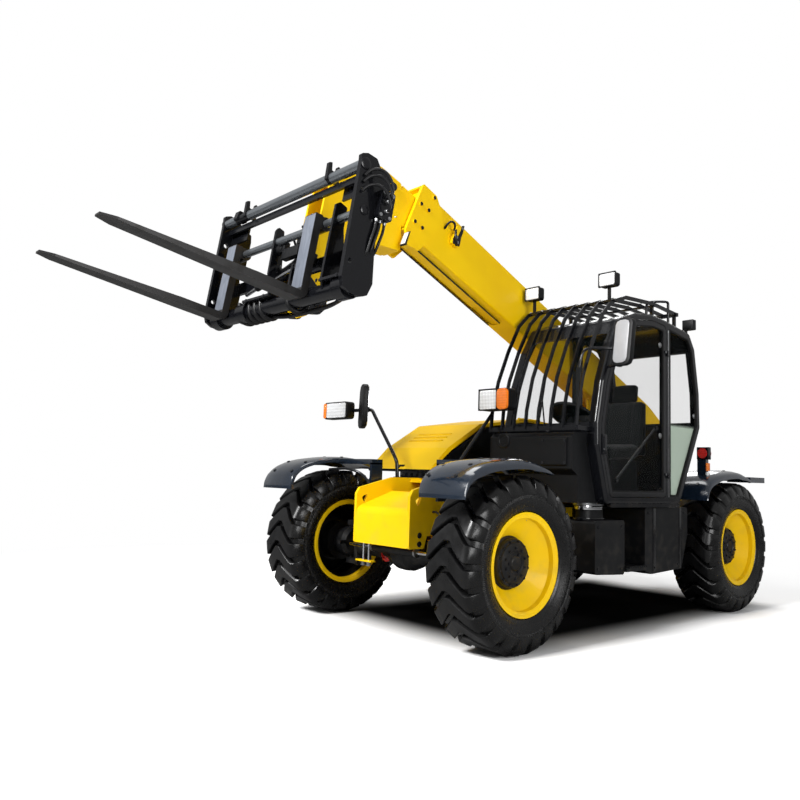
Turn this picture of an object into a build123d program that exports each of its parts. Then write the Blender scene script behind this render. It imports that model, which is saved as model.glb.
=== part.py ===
from build123d import *
import os
from math import cos, sin, radians, hypot

# Telehandler, rough-terrain, four-wheel steer. Millimetres.
# +Z up, the machine faces -Y, +X is its left-hand (cab) side, the ground is Z = 0.

# ---------------------------------------------------------------- driving sizes
AXLE_F, AXLE_R = -585, 2410          # Y of the front and rear wheel centres
WHEEL_Z = 572                        # height of the wheel centres, and radius over the lugs
TYRE_MID = 926                       # X of the wheel's middle plane
LUGS, LUG_DROP, LUG_W = 23, 130, 118    # chevron lugs round a tyre, their V and their width
KING_X = 700                         # steering pivots, from the centre plane
FRAME_X, PLATE = 310, 25             # outer faces and thickness of the main side plates
FRAME_TOP = 1100.3                   # what sits on the main frame starts here

BOOM_DEG = 23.25                     # rest angle of the boom above the horizontal
PIVOT_Y, PIVOT_Z = AXLE_R + 305, 1620    # rear boom pin
BOOM_W, BOOM_LOW, BOOM_TOP = 246, -190, 205
BOOM_END = 3795                      # front end of the outer section, along the boom
INNER_W, INNER_LOW, INNER_TOP = 204, -176, 112
LIFT_BASE = (AXLE_R + 150, 900)      # lift barrel pin, world Y and Z
LIFT_EYE = (1000, -320)              # lift rod eye, along and across the boom
TILT_BASE = (4012.1, 28.6)           # tilt barrel pin, along and across the boom
HEEL = (4526.2, -1298.1)             # fork heel corner, along and across the boom

FORK_DEG = 9.93                      # blade pitch
FORK_X = (392, -582)                 # centres of the left and right fork
FORK_W, SHANK_T, SHANK_H, BLADE_L = 120, 50, 516, 1229
CARR_X = 830                         # outer faces of the carriage side plates
TUBE = (-35, 750)                    # top tube, forward and up in the carriage's own axes
SHAFT = (-85, 470)                   # fork shaft
BEAM = (-110, 5)                     # lower tube
TILT_PIN = (-330, 100)               # carriage pivot
TILT_EYE = (-300, 400)               # tilt rod eye

CAB_IN, CAB_OUT, WALL = 168, 1060, 40
CAB_Y = (AXLE_F + AXLE_R) / 2 - 912.5    # what stands between the axles moves with them
DOOR_END = CAB_Y + 1238              # rear edge of the door opening
HOOD_X = -960                        # outer face of the hood

os.makedirs("parts", exist_ok=True)

BU = (-cos(radians(BOOM_DEG)), sin(radians(BOOM_DEG)))
FU = (-cos(radians(FORK_DEG)), sin(radians(FORK_DEG)))


def boom_yz(s, t):
    return (PIVOT_Y + s * BU[0] + t * BU[1], PIVOT_Z + s * BU[1] - t * BU[0])


HEEL_Y, HEEL_Z = boom_yz(*HEEL)


def carr_yz(d, n):
    return (HEEL_Y + d * FU[0] + n * FU[1], HEEL_Z + d * FU[1] - n * FU[0])


def side(x):
    """Plane across X at x, drawn in world Y and Z, growing towards +X."""
    return Plane(origin=(x, 0, 0), x_dir=(0, 1, 0), z_dir=(1, 0, 0))


def boom_plane(x=0):
    """Along the boom and up from its axis, growing towards -X."""
    return Plane(origin=(x, PIVOT_Y, PIVOT_Z), x_dir=(0, BU[0], BU[1]), z_dir=(-1, 0, 0))


def carr_plane(x=0):
    """Forward along the blades and up the shanks, growing towards -X."""
    return Plane(origin=(x, HEEL_Y, HEEL_Z), x_dir=(0, FU[0], FU[1]), z_dir=(-1, 0, 0))


def flat(plane, points, radius=0):
    """Closed outline on a plane, its corners rounded."""
    with BuildSketch(plane) as face:
        Polygon(*points, align=None)
        if radius:
            fillet(face.vertices(), radius)
    return face.sketch


def disc(plane, centre, radius):
    with BuildSketch(plane) as face:
        with Locations(centre):
            Circle(radius)
    return face.sketch


def strip(plane, points, radius, width):
    """Bent bar seen edge on: its middle line through the points, bends rounded."""
    with BuildSketch(plane) as face:
        with BuildLine():
            FilletPolyline(*points, radius=radius)
        trace(line_width=width)
    return face.sketch


def rounded_box(centre, size, radius, axis=Axis.Y):
    """Box with its edges along one axis rounded."""
    box = Box(*size, mode=Mode.PRIVATE)
    return Pos(*centre) * box.fillet(radius, box.edges().filter_by(axis))


def move(points, dy):
    return [(y + dy, z) for y, z in points]


def save(shape, name):
    shape.label = name
    export_step(shape, "parts/" + name + ".step")


# ---------------------------------------------------------------- chassis frame
# outlines in world Y and Z, each point set out from the axle it is nearest to
FRAME = (move([(-293, 607), (-150, 607), (-120, 700), (120, 700), (255, 480)], AXLE_F)
         + move([(-300, 480), (-180, 700), (180, 700), (250, 560), (600, 560), (600, 1100)], AXLE_R)
         + move([(60, 1100), (-263, 1018), (-293, 970)], AXLE_F))
TOWER = move([(30, 720), (600, 720), (600, 1400), (410, 1690), (200, 1690), (-160, 1090), (-160, 800)],
             AXLE_R)
INSIDE = FRAME_X - PLATE
with BuildPart() as chassis_frame:
    for x in (-FRAME_X, INSIDE):
        extrude(flat(side(x), FRAME, 18), amount=PLATE)
    # lifting eyes in the nose
    extrude(flat(side(-FRAME_X - 1), move([(-243, 945), (-173, 985), (-221, 893)], AXLE_F), 11),
            amount=2 * FRAME_X + 2, mode=Mode.SUBTRACT)
    for x in (-215, 190):
        extrude(flat(side(x), TOWER, 30), amount=25)
        # lightening hole in each tower plate
        extrude(disc(side(x), (AXLE_R + 260, 1180), 70), amount=25, mode=Mode.SUBTRACT)
    # nose plate, rolled over into the deck behind it
    extrude(strip(side(-INSIDE), move([(-283, 610), (-283, 868), (60, 986)], AXLE_F), 60, 16),
            amount=2 * INSIDE)
    # cross members: Y and Z of the centre, length along Y, height
    for y, z, ly, lz in ((AXLE_F + 265, 790, 24, 400), (CAB_Y + 900, 780, 24, 600),
                         (AXLE_R - 148, 750, 24, 100), (AXLE_R + 588, 830, 24, 540),
                         (CAB_Y + 880, 492, 2420, 24), (CAB_Y + 60, 1076, 780, 24)):
        with Locations((0, y, z)):
            Box(2 * INSIDE, ly, lz)
    for y in (AXLE_F, AXLE_R):
        with Locations((0, y, 710)):
            Box(2 * INSIDE, 200, 36)
    # lift cylinder and boom pins
    for centre, r, half in ((LIFT_BASE, 35, FRAME_X + 12), ((PIVOT_Y, PIVOT_Z), 40, 222)):
        extrude(disc(side(-half), centre, r), amount=2 * half)
save(chassis_frame.part, "chassis_frame")

# ---------------------------------------------------------------- axles
# half of the beam: X and radius, from the banjo out to the yoke
BEAM_HALF = [(0, 0), (0, 138), (60, 134), (120, 112), (175, 88), (250, 76), (470, 70), (500, 84),
             (560, 84), (560, 0)]
for name, yc, out in (("front_axle", AXLE_F, -1), ("rear_axle", AXLE_R, 1)):
    with BuildPart() as axle:
        with BuildSketch(Plane(origin=(0, yc, WHEEL_Z - 20), x_dir=(1, 0, 0), z_dir=(0, -1, 0))):
            Polygon(*BEAM_HALF, align=None)
            mirror(about=Plane.YZ)
        revolve(axis=Axis((0, yc, WHEEL_Z - 20), (1, 0, 0)))
        # pinion nose, towards the middle of the machine
        with BuildSketch(Plane(origin=(0, yc - out * 60, WHEEL_Z - 20), x_dir=(1, 0, 0), z_dir=(0, -out, 0))):
            Circle(92)
        extrude(amount=170, taper=9)
        with Locations((0, yc, 671)):
            Box(300, 150, 42)
        # steering cylinder on the outer side, on two saddles
        for half, r in ((230, 30), (520, 14)):
            extrude(disc(side(-half), (yc + out * 150, WHEEL_Z), r), amount=2 * half)
        for x in (-180, 180):
            with Locations((x, yc + out * 105, WHEEL_Z)):
                Box(36, 110, 34)
        for sx in (-1, 1):
            # fork that holds the steering knuckle
            extrude(flat(side(sx * 550 - 20), move([(-75, 397), (75, 397), (75, 747), (-75, 747)], yc), 24),
                    amount=40)
            for dz in (-170, 130):
                with BuildSketch(Plane.XY.offset(WHEEL_Z + dz)):
                    with Locations((sx * 635, yc)):
                        Rectangle(150, 76)
                    with Locations((sx * KING_X, yc)):
                        Circle(38)
                extrude(amount=40)
    save(axle.part, name)

# ---------------------------------------------------------------- tyres
def ring(x, r, sides):
    """Regular polygon across the wheel axis, its flats at radius r."""
    with BuildSketch(Plane(origin=(x, 0, 0), x_dir=(0, 0, 1), z_dir=(1, 0, 0))) as face:
        RegularPolygon(r, sides, major_radius=False)
    return face.sketch


# carcass from its inner to its outer side wall: X from the middle plane, radius at the flats
CARCASS = [(-205, 430), (-192, 496), (-160, 537), (160, 537), (192, 496), (205, 430)]
HALF_LUG = LUG_W / 2
TIP_FLAT = WHEEL_Z * cos(radians(180 / (2 * LUGS)))    # flats of the polygon that trims the lugs
with BuildPart() as tyre:
    loft([ring(x, r, LUGS) for x, r in CARCASS], ruled=True)
    # one chevron seen from the front, its point up, then its shoulders and its crown
    chevron = [(0, LUG_DROP / 2 + HALF_LUG), (200, 51 - LUG_DROP / 2), (200, -53 - LUG_DROP / 2),
               (0, LUG_DROP / 2 - HALF_LUG), (-200, -53 - LUG_DROP / 2), (-200, 51 - LUG_DROP / 2)]
    lug = extrude(flat(Plane(origin=(0, -470, 0), x_dir=(1, 0, 0), z_dir=(0, -1, 0)), chevron),
                  amount=130, mode=Mode.PRIVATE)
    shoulders = [(-197, -474), (-163, -580), (163, -580), (197, -474)]
    lug &= extrude(flat(Plane.XY.offset(-200), shoulders), amount=400, mode=Mode.PRIVATE)
    lug &= extrude(ring(-210, TIP_FLAT, 2 * LUGS), amount=420, mode=Mode.PRIVATE)
    add([lug.rotate(Axis.X, i * 360 / LUGS) for i in range(LUGS)])
    # side walls fall in to the beads
    for sx in (-1, 1):
        loft([ring(sx * x, r, LUGS) for x, r in ((174, 340), (206, 433))], ruled=True, mode=Mode.SUBTRACT)
    extrude(ring(-210, 307.2, LUGS), amount=420, mode=Mode.SUBTRACT)

# ---------------------------------------------------------------- rims and knuckles
# rim and hub section: radius and X
RIM = [(335, 746), (335, 751.5), (306.7, 751.7), (306.7, 850), (286, 870), (286, 930), (306.7, 950),
       (306.7, 1100.3), (335, 1100.5), (335, 1106), (322, 1106), (297, 1094), (293, 1060), (168, 950),
       (155, 950), (155, 985), (130, 1000), (0, 1000), (0, 815.5), (155, 815.5), (155, 934),
       (172, 934), (284, 1034), (297, 1030), (297, 958), (277, 936), (277, 866), (297, 842),
       (297, 754), (322, 746)]
KNUCKLE = [(0, 660), (90, 660), (118, 690), (118, 745), (100, 765), (100, 815), (0, 815)]
WHEELS = (("fl", 1, AXLE_F, -1), ("fr", -1, AXLE_F, -1), ("rl", 1, AXLE_R, 1), ("rr", -1, AXLE_R, 1))
for tag, sx, yc, out in WHEELS:
    save(tyre.part.moved(Location((sx * TYRE_MID, yc, WHEEL_Z))), "tyre_" + tag)
    axis = Axis((0, yc, WHEEL_Z), (1, 0, 0))
    for name, section in (("rim_", RIM), ("knuckle_", KNUCKLE)):
        with BuildPart() as turned:
            with BuildSketch(Plane(origin=(0, yc, WHEEL_Z), x_dir=(sx, 0, 0), z_dir=(0, sx, 0))):
                Polygon(*[(x, r) for r, x in section], align=None)
            revolve(axis=axis)
            if name == "knuckle_":
                # kingpin, and the arm that the steering cylinder pushes
                with Locations((sx * KING_X, yc, WHEEL_Z)):
                    Cylinder(24, 259)
                arm = [(sx * 675, yc), (sx * 735, yc), (sx * 680, yc + out * 168), (sx * 642, yc + out * 168)]
                extrude(flat(Plane.XY.offset(WHEEL_Z - 14), arm, 14), amount=28)
        save(turned.part, name + tag)

# ---------------------------------------------------------------- boom
ALONG = Axis((0, 0, 0), (0, BU[0], BU[1]))
COLLAR = [(3795, 224), (3645, 224), (3563, 159), (3513, 80), (3512, 60), (3580, -190),
          (3624, -285), (3750, -285), (3795, -200)]
COLLAR_BOLTS = [(3754, 61), (3671, 63), (3750, -101), (3668, -101), (3662, 190)]
with BuildPart() as boom_outer:
    extrude(flat(boom_plane(BOOM_W / 2),
                 [(-170, -60), (-60, -190), (BOOM_END, BOOM_LOW), (BOOM_END, BOOM_TOP), (300, BOOM_TOP),
                  (-60, 150), (-170, 60)]), amount=BOOM_W)
    fillet(boom_outer.edges().filter_by(ALONG), 16)
    extrude(flat(boom_plane(115), [(300, -183), (3800, -183), (3800, 197), (300, 197)]), amount=230,
            mode=Mode.SUBTRACT)
    # hand hole and hose slot in the underside
    with BuildSketch(Plane(origin=(0, *boom_yz(0, -260)), x_dir=(0, *BU), z_dir=(0, BU[1], -BU[0]))):
        with Locations((2617, -45)):
            SlotOverall(295, 108)
        with Locations((3130, -90)):
            Rectangle(760, 22)
    extrude(amount=120, mode=Mode.SUBTRACT)
    # collar plates, proud of both sides, with their bolts
    for x in (146, -123):
        extrude(flat(boom_plane(x), COLLAR, 10), amount=23)
    for s, t in COLLAR_BOLTS:
        extrude(disc(boom_plane(155), (s, t), 15), amount=12)
        extrude(disc(boom_plane(-143), (s, t), 15), amount=12)
    # hose clamp on the left side, and the work lamp under the collar
    extrude(flat(boom_plane(160), [(3293, -13), (3366, -13), (3366, 150), (3293, 150)], 14), amount=40)
    extrude(flat(boom_plane(210), [(3722, -340), (3782, -352), (3790, -240), (3728, -232)], 12), amount=66)
    # lift cylinder lugs
    for x in (65, -45):
        extrude(flat(boom_plane(x), [(840, -186), (950, -370), (1050, -370), (1160, -186)], 24), amount=20)
    # wear pads round the inner section: X and T of the centre, width, height
    for x, t, w, h in ((0, -179.75, 180, 6.5), (0, 155, 180, 85), (-108.75, -30, 12.5, 220),
                       (108.75, -30, 12.5, 220)):
        extrude(flat(boom_plane(x + w / 2), [(3620, t - h / 2), (3760, t - h / 2), (3760, t + h / 2),
                                             (3620, t + h / 2)]), amount=w)
    # pivot tube
    extrude(disc(boom_plane(185), (0, 0), 75), amount=370)
    extrude(disc(boom_plane(200), (0, 0), 40.5), amount=400, mode=Mode.SUBTRACT)
save(boom_outer.part, "boom_outer")

# goose neck: along and across the boom
HEAD = [(3950, 110), (4160, 100), (4262, 52), (4473, -267), (4473, -420), (4362, -916), (4317, -1136),
        (4276, -1206), (4193, -1207), (4138, -1147), (4136, -797), (3955, -448), (3742, -356), (3811, -190)]
with BuildPart() as boom_inner:
    extrude(flat(boom_plane(INNER_W / 2),
                 [(420, INNER_LOW), (3930, INNER_LOW), (3930, INNER_TOP), (420, INNER_TOP)]), amount=INNER_W)
    fillet(boom_inner.edges().filter_by(ALONG), 12)
    extrude(flat(boom_plane(INNER_W / 2 - 12),
                 [(432, INNER_LOW + 12), (3940, INNER_LOW + 12), (3940, INNER_TOP - 12),
                  (432, INNER_TOP - 12)]), amount=INNER_W - 24, mode=Mode.SUBTRACT)
    for x in (102, -82):
        extrude(flat(boom_plane(x), HEAD, 24), amount=20)
    # skin that closes the head along its top and its lower back
    with BuildSketch(boom_plane(83)):
        Polygon(*HEAD, align=None)
        offset(amount=-14, kind=Kind.INTERSECTION, mode=Mode.SUBTRACT)
        Polygon((4540, -122), (4903, -278), (4390, -1473), (3839, -1236), (4135, -786), (4244, -648),
                align=None, mode=Mode.SUBTRACT)
        Polygon((3727, -330), (3773, -350), (3956, 76), (3914, 105), align=None, mode=Mode.SUBTRACT)
    extrude(amount=166)
    # bosses and pins of the carriage and of the tilt barrel
    extrude(disc(boom_plane(106), TILT_BASE, 48), amount=24)
    extrude(disc(boom_plane(-82), TILT_BASE, 48), amount=24)
    for centre, r, half in ((carr_yz(*TILT_PIN), 32, 134), (boom_yz(*TILT_BASE), 25, 116)):
        extrude(disc(side(-half), centre, r), amount=2 * half)
save(boom_inner.part, "boom_inner")

# ---------------------------------------------------------------- cylinders
def cylinder(base, eye, r_out, r_rod, r_pin, barrel_len, rod_len, half, pipe_side, prefix):
    length = hypot(eye[0] - base[0], eye[1] - base[1])
    along = Plane(origin=(0, *base), x_dir=(1, 0, 0), z_dir=(0, (eye[0] - base[0]) / length,
                                                           (eye[1] - base[1]) / length))
    with BuildPart() as barrel:
        extrude(disc(along.offset(40), (0, 0), r_out), amount=barrel_len - 40)
        # gland nut near the mouth, feed pipe and its two blocks
        extrude(disc(along.offset(barrel_len - 104), (0, 0), r_out + 6), amount=34)
        extrude(disc(along.offset(150), (0, pipe_side * (r_out + 5)), 9), amount=barrel_len - 270)
        for at in (140, barrel_len - 150):
            extrude(disc(along.offset(at), (0, pipe_side * r_out), 16), amount=30)
        extrude(disc(along.offset(90), (0, 0), r_rod + 0.5), amount=barrel_len, mode=Mode.SUBTRACT)
        extrude(disc(side(-half), base, r_pin + 22), amount=2 * half)
        extrude(disc(side(-half - 1), base, r_pin + 0.5), amount=2 * half + 2, mode=Mode.SUBTRACT)
    save(barrel.part, prefix + "_barrel")
    with BuildPart() as rod:
        extrude(disc(along.offset(length - rod_len), (0, 0), r_rod), amount=rod_len)
        extrude(disc(side(-half), eye, r_rod + 12), amount=2 * half)
    save(rod.part, prefix + "_rod")


cylinder(LIFT_BASE, boom_yz(*LIFT_EYE), 68, 42, 35, 822, 840, 40, -1, "lift")
cylinder(boom_yz(*TILT_BASE), carr_yz(*TILT_EYE), 50, 28, 25, 790, 740, 38, 1, "tilt")

# ---------------------------------------------------------------- carriage
SIDE = [(0, 757), (5, 800), (-40, 822), (-112, 820), (-150, 773), (-236, 745), (-246, 690),
        (-246, 490), (-207, 440), (-207, 287), (-240, 60), (-215, -20), (-160, -46), (-85, -46),
        (-35, -25), (-12, 30)]
PLATE_IN = CARR_X - 30
with BuildPart() as carriage:
    for x in (CARR_X, -PLATE_IN):
        extrude(flat(carr_plane(x), SIDE, 13), amount=30)
    # holes through both side plates
    for centre, r in (((-50, 137), 16), ((-52, 585), 18)):
        extrude(disc(carr_plane(CARR_X + 1), centre, r), amount=2 * CARR_X + 2, mode=Mode.SUBTRACT)
    for centre, r in ((TUBE, 33), (SHAFT, 25), (BEAM, 54)):
        extrude(disc(carr_plane(PLATE_IN + 5), centre, r), amount=2 * PLATE_IN + 10)
    # bar behind the top tube and the middle beam
    for d, n, ld, ln in ((-64, 688, 22, 44), (-165, 250, 24, 90)):
        extrude(flat(carr_plane(PLATE_IN + 5), [(d - ld / 2, n - ln / 2), (d + ld / 2, n - ln / 2),
                                                (d + ld / 2, n + ln / 2), (d - ld / 2, n + ln / 2)]),
                amount=2 * PLATE_IN + 10)
    # collars that clamp the lower tube: X of the left face and length
    for x, length in ((790, 95), (-300, 110), (-670, 95)):
        extrude(disc(carr_plane(x), BEAM, 74), amount=length)
    # ledges beside the forks: X of the left face and length
    for x, length in ((PLATE_IN + 5, 225), (20, 330)):
        extrude(flat(carr_plane(x), [(-112, 44), (-24, 44), (-24, 60), (-112, 60)]), amount=length)
    # upright plates between the tubes, hollowed at the back; the middle one is short
    UPRIGHT = [(-60, -8), (-32, 60), (-36, 552), (-62, 574), (-120, 560), (-122, 420), (-150, 300),
               (-177, 240), (-177, 60), (-130, -8)]
    for x in (600, -655):
        extrude(flat(carr_plane(x), UPRIGHT, 12), amount=20)
    extrude(flat(carr_plane(-90), [(-110, 210), (-58, 230), (-50, 540), (-66, 572), (-112, 560), (-150, 300),
                                   (-177, 240), (-177, 205)], 12), amount=20)
    # webs that carry the top tube at both ends
    for x in (PLATE_IN + 5, -570):
        extrude(flat(carr_plane(x), [(-104, 600), (-90, 600), (-90, 740), (-104, 740)]), amount=235)
    # open hooks on the top tube, and a closed lug beside the right one
    for x in (500, -490):
        extrude(flat(carr_plane(x), [(-88, 730), (6, 730), (10, 842), (-14, 852), (-22, 800), (-56, 796),
                                     (-62, 846), (-84, 838)], 5), amount=26)
    extrude(flat(carr_plane(-600), [(-80, 730), (10, 730), (0, 800), (-70, 800)], 12), amount=50)
    # outer ribs on the carriage pin and inner lugs for the tilt rod
    for x in (128, -108):
        extrude(flat(carr_plane(x), [(-100, -8), (-100, 290), (-177, 295), (-330, 190), (-405, 150),
                                     (-420, 80), (-375, 20), (-310, 0)], 20), amount=20)
    for x in (62, -44):
        extrude(flat(carr_plane(x), [(-160, 205), (-160, 300), (-270, 450), (-330, 450), (-350, 400),
                                     (-330, 360), (-240, 205)], 12), amount=18)
    # valve block on the left side plate
    extrude(flat(carr_plane(CARR_X + 46), [(-262, 455), (-158, 455), (-158, 637), (-262, 637)], 16),
            amount=60)
    extrude(disc(carr_plane(140), TILT_PIN, 32.5), amount=280, mode=Mode.SUBTRACT)
save(carriage.part, "carriage")

for name, xc in (("fork_left", FORK_X[0]), ("fork_right", FORK_X[1])):
    with BuildPart() as fork:
        # shank and heel bent from one bar, then the tapered blade
        mid = SHANK_T / 2
        extrude(strip(carr_plane(xc + FORK_W / 2), [(-mid, SHANK_H), (-mid, -mid), (320, -mid)], 34, SHANK_T),
                amount=FORK_W)
        extrude(flat(carr_plane(xc + FORK_W / 2), [(300, 0), (BLADE_L, -30), (BLADE_L, -42),
                                                   (300, -SHANK_T)]), amount=FORK_W)
        # blade narrows to its tip in plan
        tip = Plane(origin=(xc, HEEL_Y, HEEL_Z), x_dir=(0, FU[0], FU[1]), z_dir=(0, FU[1], -FU[0]))
        with BuildSketch(tip.offset(-100)):
            for s in (-1, 1):
                Polygon((BLADE_L + 1, s * 61), (BLADE_L + 1, s * 30), (BLADE_L - 90, s * 61), align=None)
        extrude(amount=200, mode=Mode.SUBTRACT)
        # eye on the fork shaft
        extrude(disc(carr_plane(xc + FORK_W / 2), SHAFT, 45), amount=FORK_W)
        extrude(flat(carr_plane(xc + FORK_W / 2), [(-80, SHAFT[1] - 40), (-40, SHAFT[1] - 40),
                                                   (-40, SHAFT[1] + 40), (-80, SHAFT[1] + 40)]),
                amount=FORK_W)
        extrude(disc(carr_plane(xc + FORK_W), SHAFT, 25.5), amount=2 * FORK_W, mode=Mode.SUBTRACT)
    save(fork.part, name)

# ---------------------------------------------------------------- cab
# side outline of the cab, Y and Z
CAB = move([(390, 948), (262, 1381), (260, 1551), (330, 1870), (445, 2160), (580, 2371), (800, 2450),
            (1030, 2478), (1251, 2461), (1631, 2410), (1725, 2280), (1800, 1900), (1812, 1600),
            (1464, 948)], CAB_Y)


def cab_face(x, inset=0, radius=45, front=-500, back=2500, low=0, high=3000):
    """The cab's side outline drawn in by inset and trimmed, on the plane across X at x."""
    with BuildSketch(side(x)) as face:
        Polygon(*CAB, align=None)
        if inset:
            offset(amount=-inset, kind=Kind.INTERSECTION)
        with Locations((CAB_Y + (front + back) / 2, (low + high) / 2)):
            Rectangle(back - front, high - low, mode=Mode.INTERSECT)
        if radius:
            fillet(face.vertices(), radius)
    return face.sketch


CAB_WIDTH = CAB_OUT - CAB_IN
DOOR_BACK, GLASS_BACK, REAR_FRONT = 1238, 1190, 1292    # Y of the door, its glass and the rear side window
SILL, FLOOR_Z = 1000, 990
INNER_SILL = 1220                    # lowest glass on the side towards the boom
# windscreen, roof and rear windows: centre Y and Z, length along Y, height
WINDOWS = ((350, 1900, 400, 700), (1010, 2450, 600, 160), (1780, 1950, 240, 600))
with BuildPart() as cab_shell:
    extrude(cab_face(CAB_IN, radius=60), amount=CAB_WIDTH)
    fillet(cab_shell.faces().sort_by(Axis.X)[-1].edges() + cab_shell.faces().sort_by(Axis.X)[0].edges(), 30)
    # the floor steps up over the main frame: X of the inner face, its depth and its lowest Z
    with Locations((CAB_IN, CAB_Y + 900, FRAME_TOP)):
        Box(2 * (FRAME_X + 0.3 - CAB_IN), 1900, 400, align=(Align.CENTER, Align.CENTER, Align.MAX),
            mode=Mode.SUBTRACT)
    for x, depth, low in ((CAB_IN + WALL, FRAME_X - CAB_IN + 20, FRAME_TOP + WALL),
                          (FRAME_X + WALL, CAB_OUT - FRAME_X - 2 * WALL, FLOOR_Z)):
        extrude(cab_face(x, inset=WALL, radius=20, low=low), amount=depth, mode=Mode.SUBTRACT)
    extrude(cab_face(CAB_OUT - WALL - 1, inset=54, back=DOOR_BACK, low=SILL), amount=WALL + 2,
            mode=Mode.SUBTRACT)
    extrude(cab_face(CAB_OUT - WALL - 1, inset=68, front=REAR_FRONT, low=1012), amount=WALL + 2,
            mode=Mode.SUBTRACT)
    for front, back in ((0, GLASS_BACK), (REAR_FRONT, 2500)):
        extrude(cab_face(CAB_IN - 1, inset=95, front=front, back=back, low=INNER_SILL), amount=WALL + 2,
                mode=Mode.SUBTRACT)
    for y, z, ly, lz in WINDOWS:
        with Locations(((CAB_IN + CAB_OUT) / 2, CAB_Y + y, z)):
            Box(CAB_WIDTH - 150, ly, lz, mode=Mode.SUBTRACT)
    # door hinges, lower halves: the pin line runs through them
    for z in (1170, 2170):
        with Locations((CAB_OUT + 10, CAB_Y + 1250, z)):
            Cylinder(10, 20)
        with Locations((CAB_OUT + 3, CAB_Y + 1270, z)):
            Box(6, 40, 20)
    # rail round the foot of the cab, under the door
    extrude(flat(side(CAB_OUT - 30), [(CAB_Y + 440, 930), (CAB_Y + 1440, 930), (CAB_Y + 1440, 960),
                                      (CAB_Y + 440, 960)], 10), amount=30)
save(cab_shell.part, "cab_shell")

with BuildPart() as cab_glass:
    # one bent sheet round the front, roof and back, kept only in the window openings
    extrude(cab_face(CAB_IN + 76, inset=14, radius=46), amount=CAB_WIDTH - 152)
    extrude(cab_face(CAB_IN, inset=24, radius=36), amount=CAB_OUT, mode=Mode.SUBTRACT)
    with BuildSketch(side(CAB_IN)):
        for y, z, ly, lz in WINDOWS:
            with Locations((CAB_Y + y, z)):
                Rectangle(ly - 1, lz - 1)
    extrude(amount=CAB_OUT, mode=Mode.INTERSECT)
    extrude(cab_face(CAB_OUT - 24, inset=68.5, front=REAR_FRONT + 0.5, low=1012.5), amount=6)
    for front, back in ((0, GLASS_BACK - 0.5), (REAR_FRONT + 0.5, 2500)):
        extrude(cab_face(CAB_IN + 18, inset=95.5, front=front, back=back, low=INNER_SILL + 0.5), amount=6)
save(cab_glass.part, "cab_glass")

with BuildPart() as door_frame:
    extrude(cab_face(CAB_OUT - 36, inset=60, back=DOOR_BACK - 6, low=SILL + 6), amount=36)
    extrude(cab_face(CAB_OUT - 37, inset=100, radius=60, back=GLASS_BACK, low=SILL + 50), amount=38,
            mode=Mode.SUBTRACT)
    # latch handle on the free edge
    extrude(flat(side(CAB_OUT), move([(336, 1335), (356, 1335), (352, 1450), (332, 1450)], CAB_Y), 6),
            amount=14)
    # door hinges, upper halves
    for z in (1190.5, 2190.5):
        with Locations((CAB_OUT + 10, CAB_Y + 1250, z)):
            Cylinder(10, 20)
        with Locations((CAB_OUT + 3, CAB_Y + 1229, z)):
            Box(6, 42, 20)
save(door_frame.part, "door_frame")
with BuildPart() as door_glass:
    extrude(cab_face(CAB_OUT - 21, inset=100.5, radius=60, back=GLASS_BACK - 0.5, low=SILL + 50.5), amount=6)
save(door_glass.part, "door_glass")

# guard of flat bars in front of the windscreen and over the roof
GUARD = move([(82, 1500), (95, 1640), (160, 1890), (275, 2150), (410, 2390), (530, 2500), (720, 2565),
              (1120, 2584), (1500, 2556)], CAB_Y)
GUARD_L, GUARD_R, BARS = 1022, 172, 8
GUARD_MID, GUARD_W = (GUARD_L + GUARD_R) / 2, GUARD_L - GUARD_R
with BuildPart() as cab_guard:
    for i in range(BARS):
        x = GUARD_R + 13 + i * (GUARD_W - 38) / (BARS - 1)
        extrude(strip(side(x), GUARD, 60, 30), amount=12)
    # cross bars: Y, Z, depth and height
    for y, z, ly, lz in ((96, 1500, 34, 34), (560, 2512, 40, 14), (1130, 2567, 30, 14), (1490, 2552, 30, 30)):
        with Locations((GUARD_MID, CAB_Y + y, z)):
            Box(GUARD_W, ly, lz)
    # stays to the cab, front and roof
    for x in (GUARD_R + 18, GUARD_L - 32):
        with Locations((x, CAB_Y + 180, 1500)):
            Box(30, 158, 30)
        for y, low in ((1130, 2471.3), (1490, 2430.6)):
            with Locations((x, CAB_Y + y, low)):
                Box(24, 24, 2560 - low, align=(Align.CENTER, Align.CENTER, Align.MIN))
    # brace from the frame to the guard's lower corner, with its foot
    foot, top = (CAB_Y - 393, FRAME_TOP + 6), (CAB_Y + 84, 1630)
    rise = Plane(origin=(200, *foot), x_dir=(1, 0, 0), z_dir=(0, top[0] - foot[0], top[1] - foot[1]))
    extrude(disc(rise, (0, 0), 14), amount=hypot(top[0] - foot[0], top[1] - foot[1]))
    with Locations((245, foot[0], FRAME_TOP)):
        Box(130, 50, 12, align=(Align.CENTER, Align.CENTER, Align.MIN))
save(cab_guard.part, "cab_guard")

with BuildPart() as cab_cowl:
    extrude(flat(side(190), move([(80, 1200), (80, 1440), (120, 1470), (259.5, 1470), (259, 1388),
                                  (325.5, 1160), (150, 1160)], CAB_Y), 14), amount=CAB_OUT - 90 - 190)
    extrude(flat(side(FRAME_X + 0.3), move([(150, 960), (150, 1170), (322.5, 1170), (384.5, 960)], CAB_Y)),
            amount=CAB_OUT - 90 - FRAME_X - 0.3)
    # raised panel on its front, and the shoulder that meets the cab's corner post
    extrude(flat(side(700), move([(66, 1230), (66, 1420), (90, 1440), (90, 1210)], CAB_Y), 8), amount=230)
save(cab_cowl.part, "cab_cowl")

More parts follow.
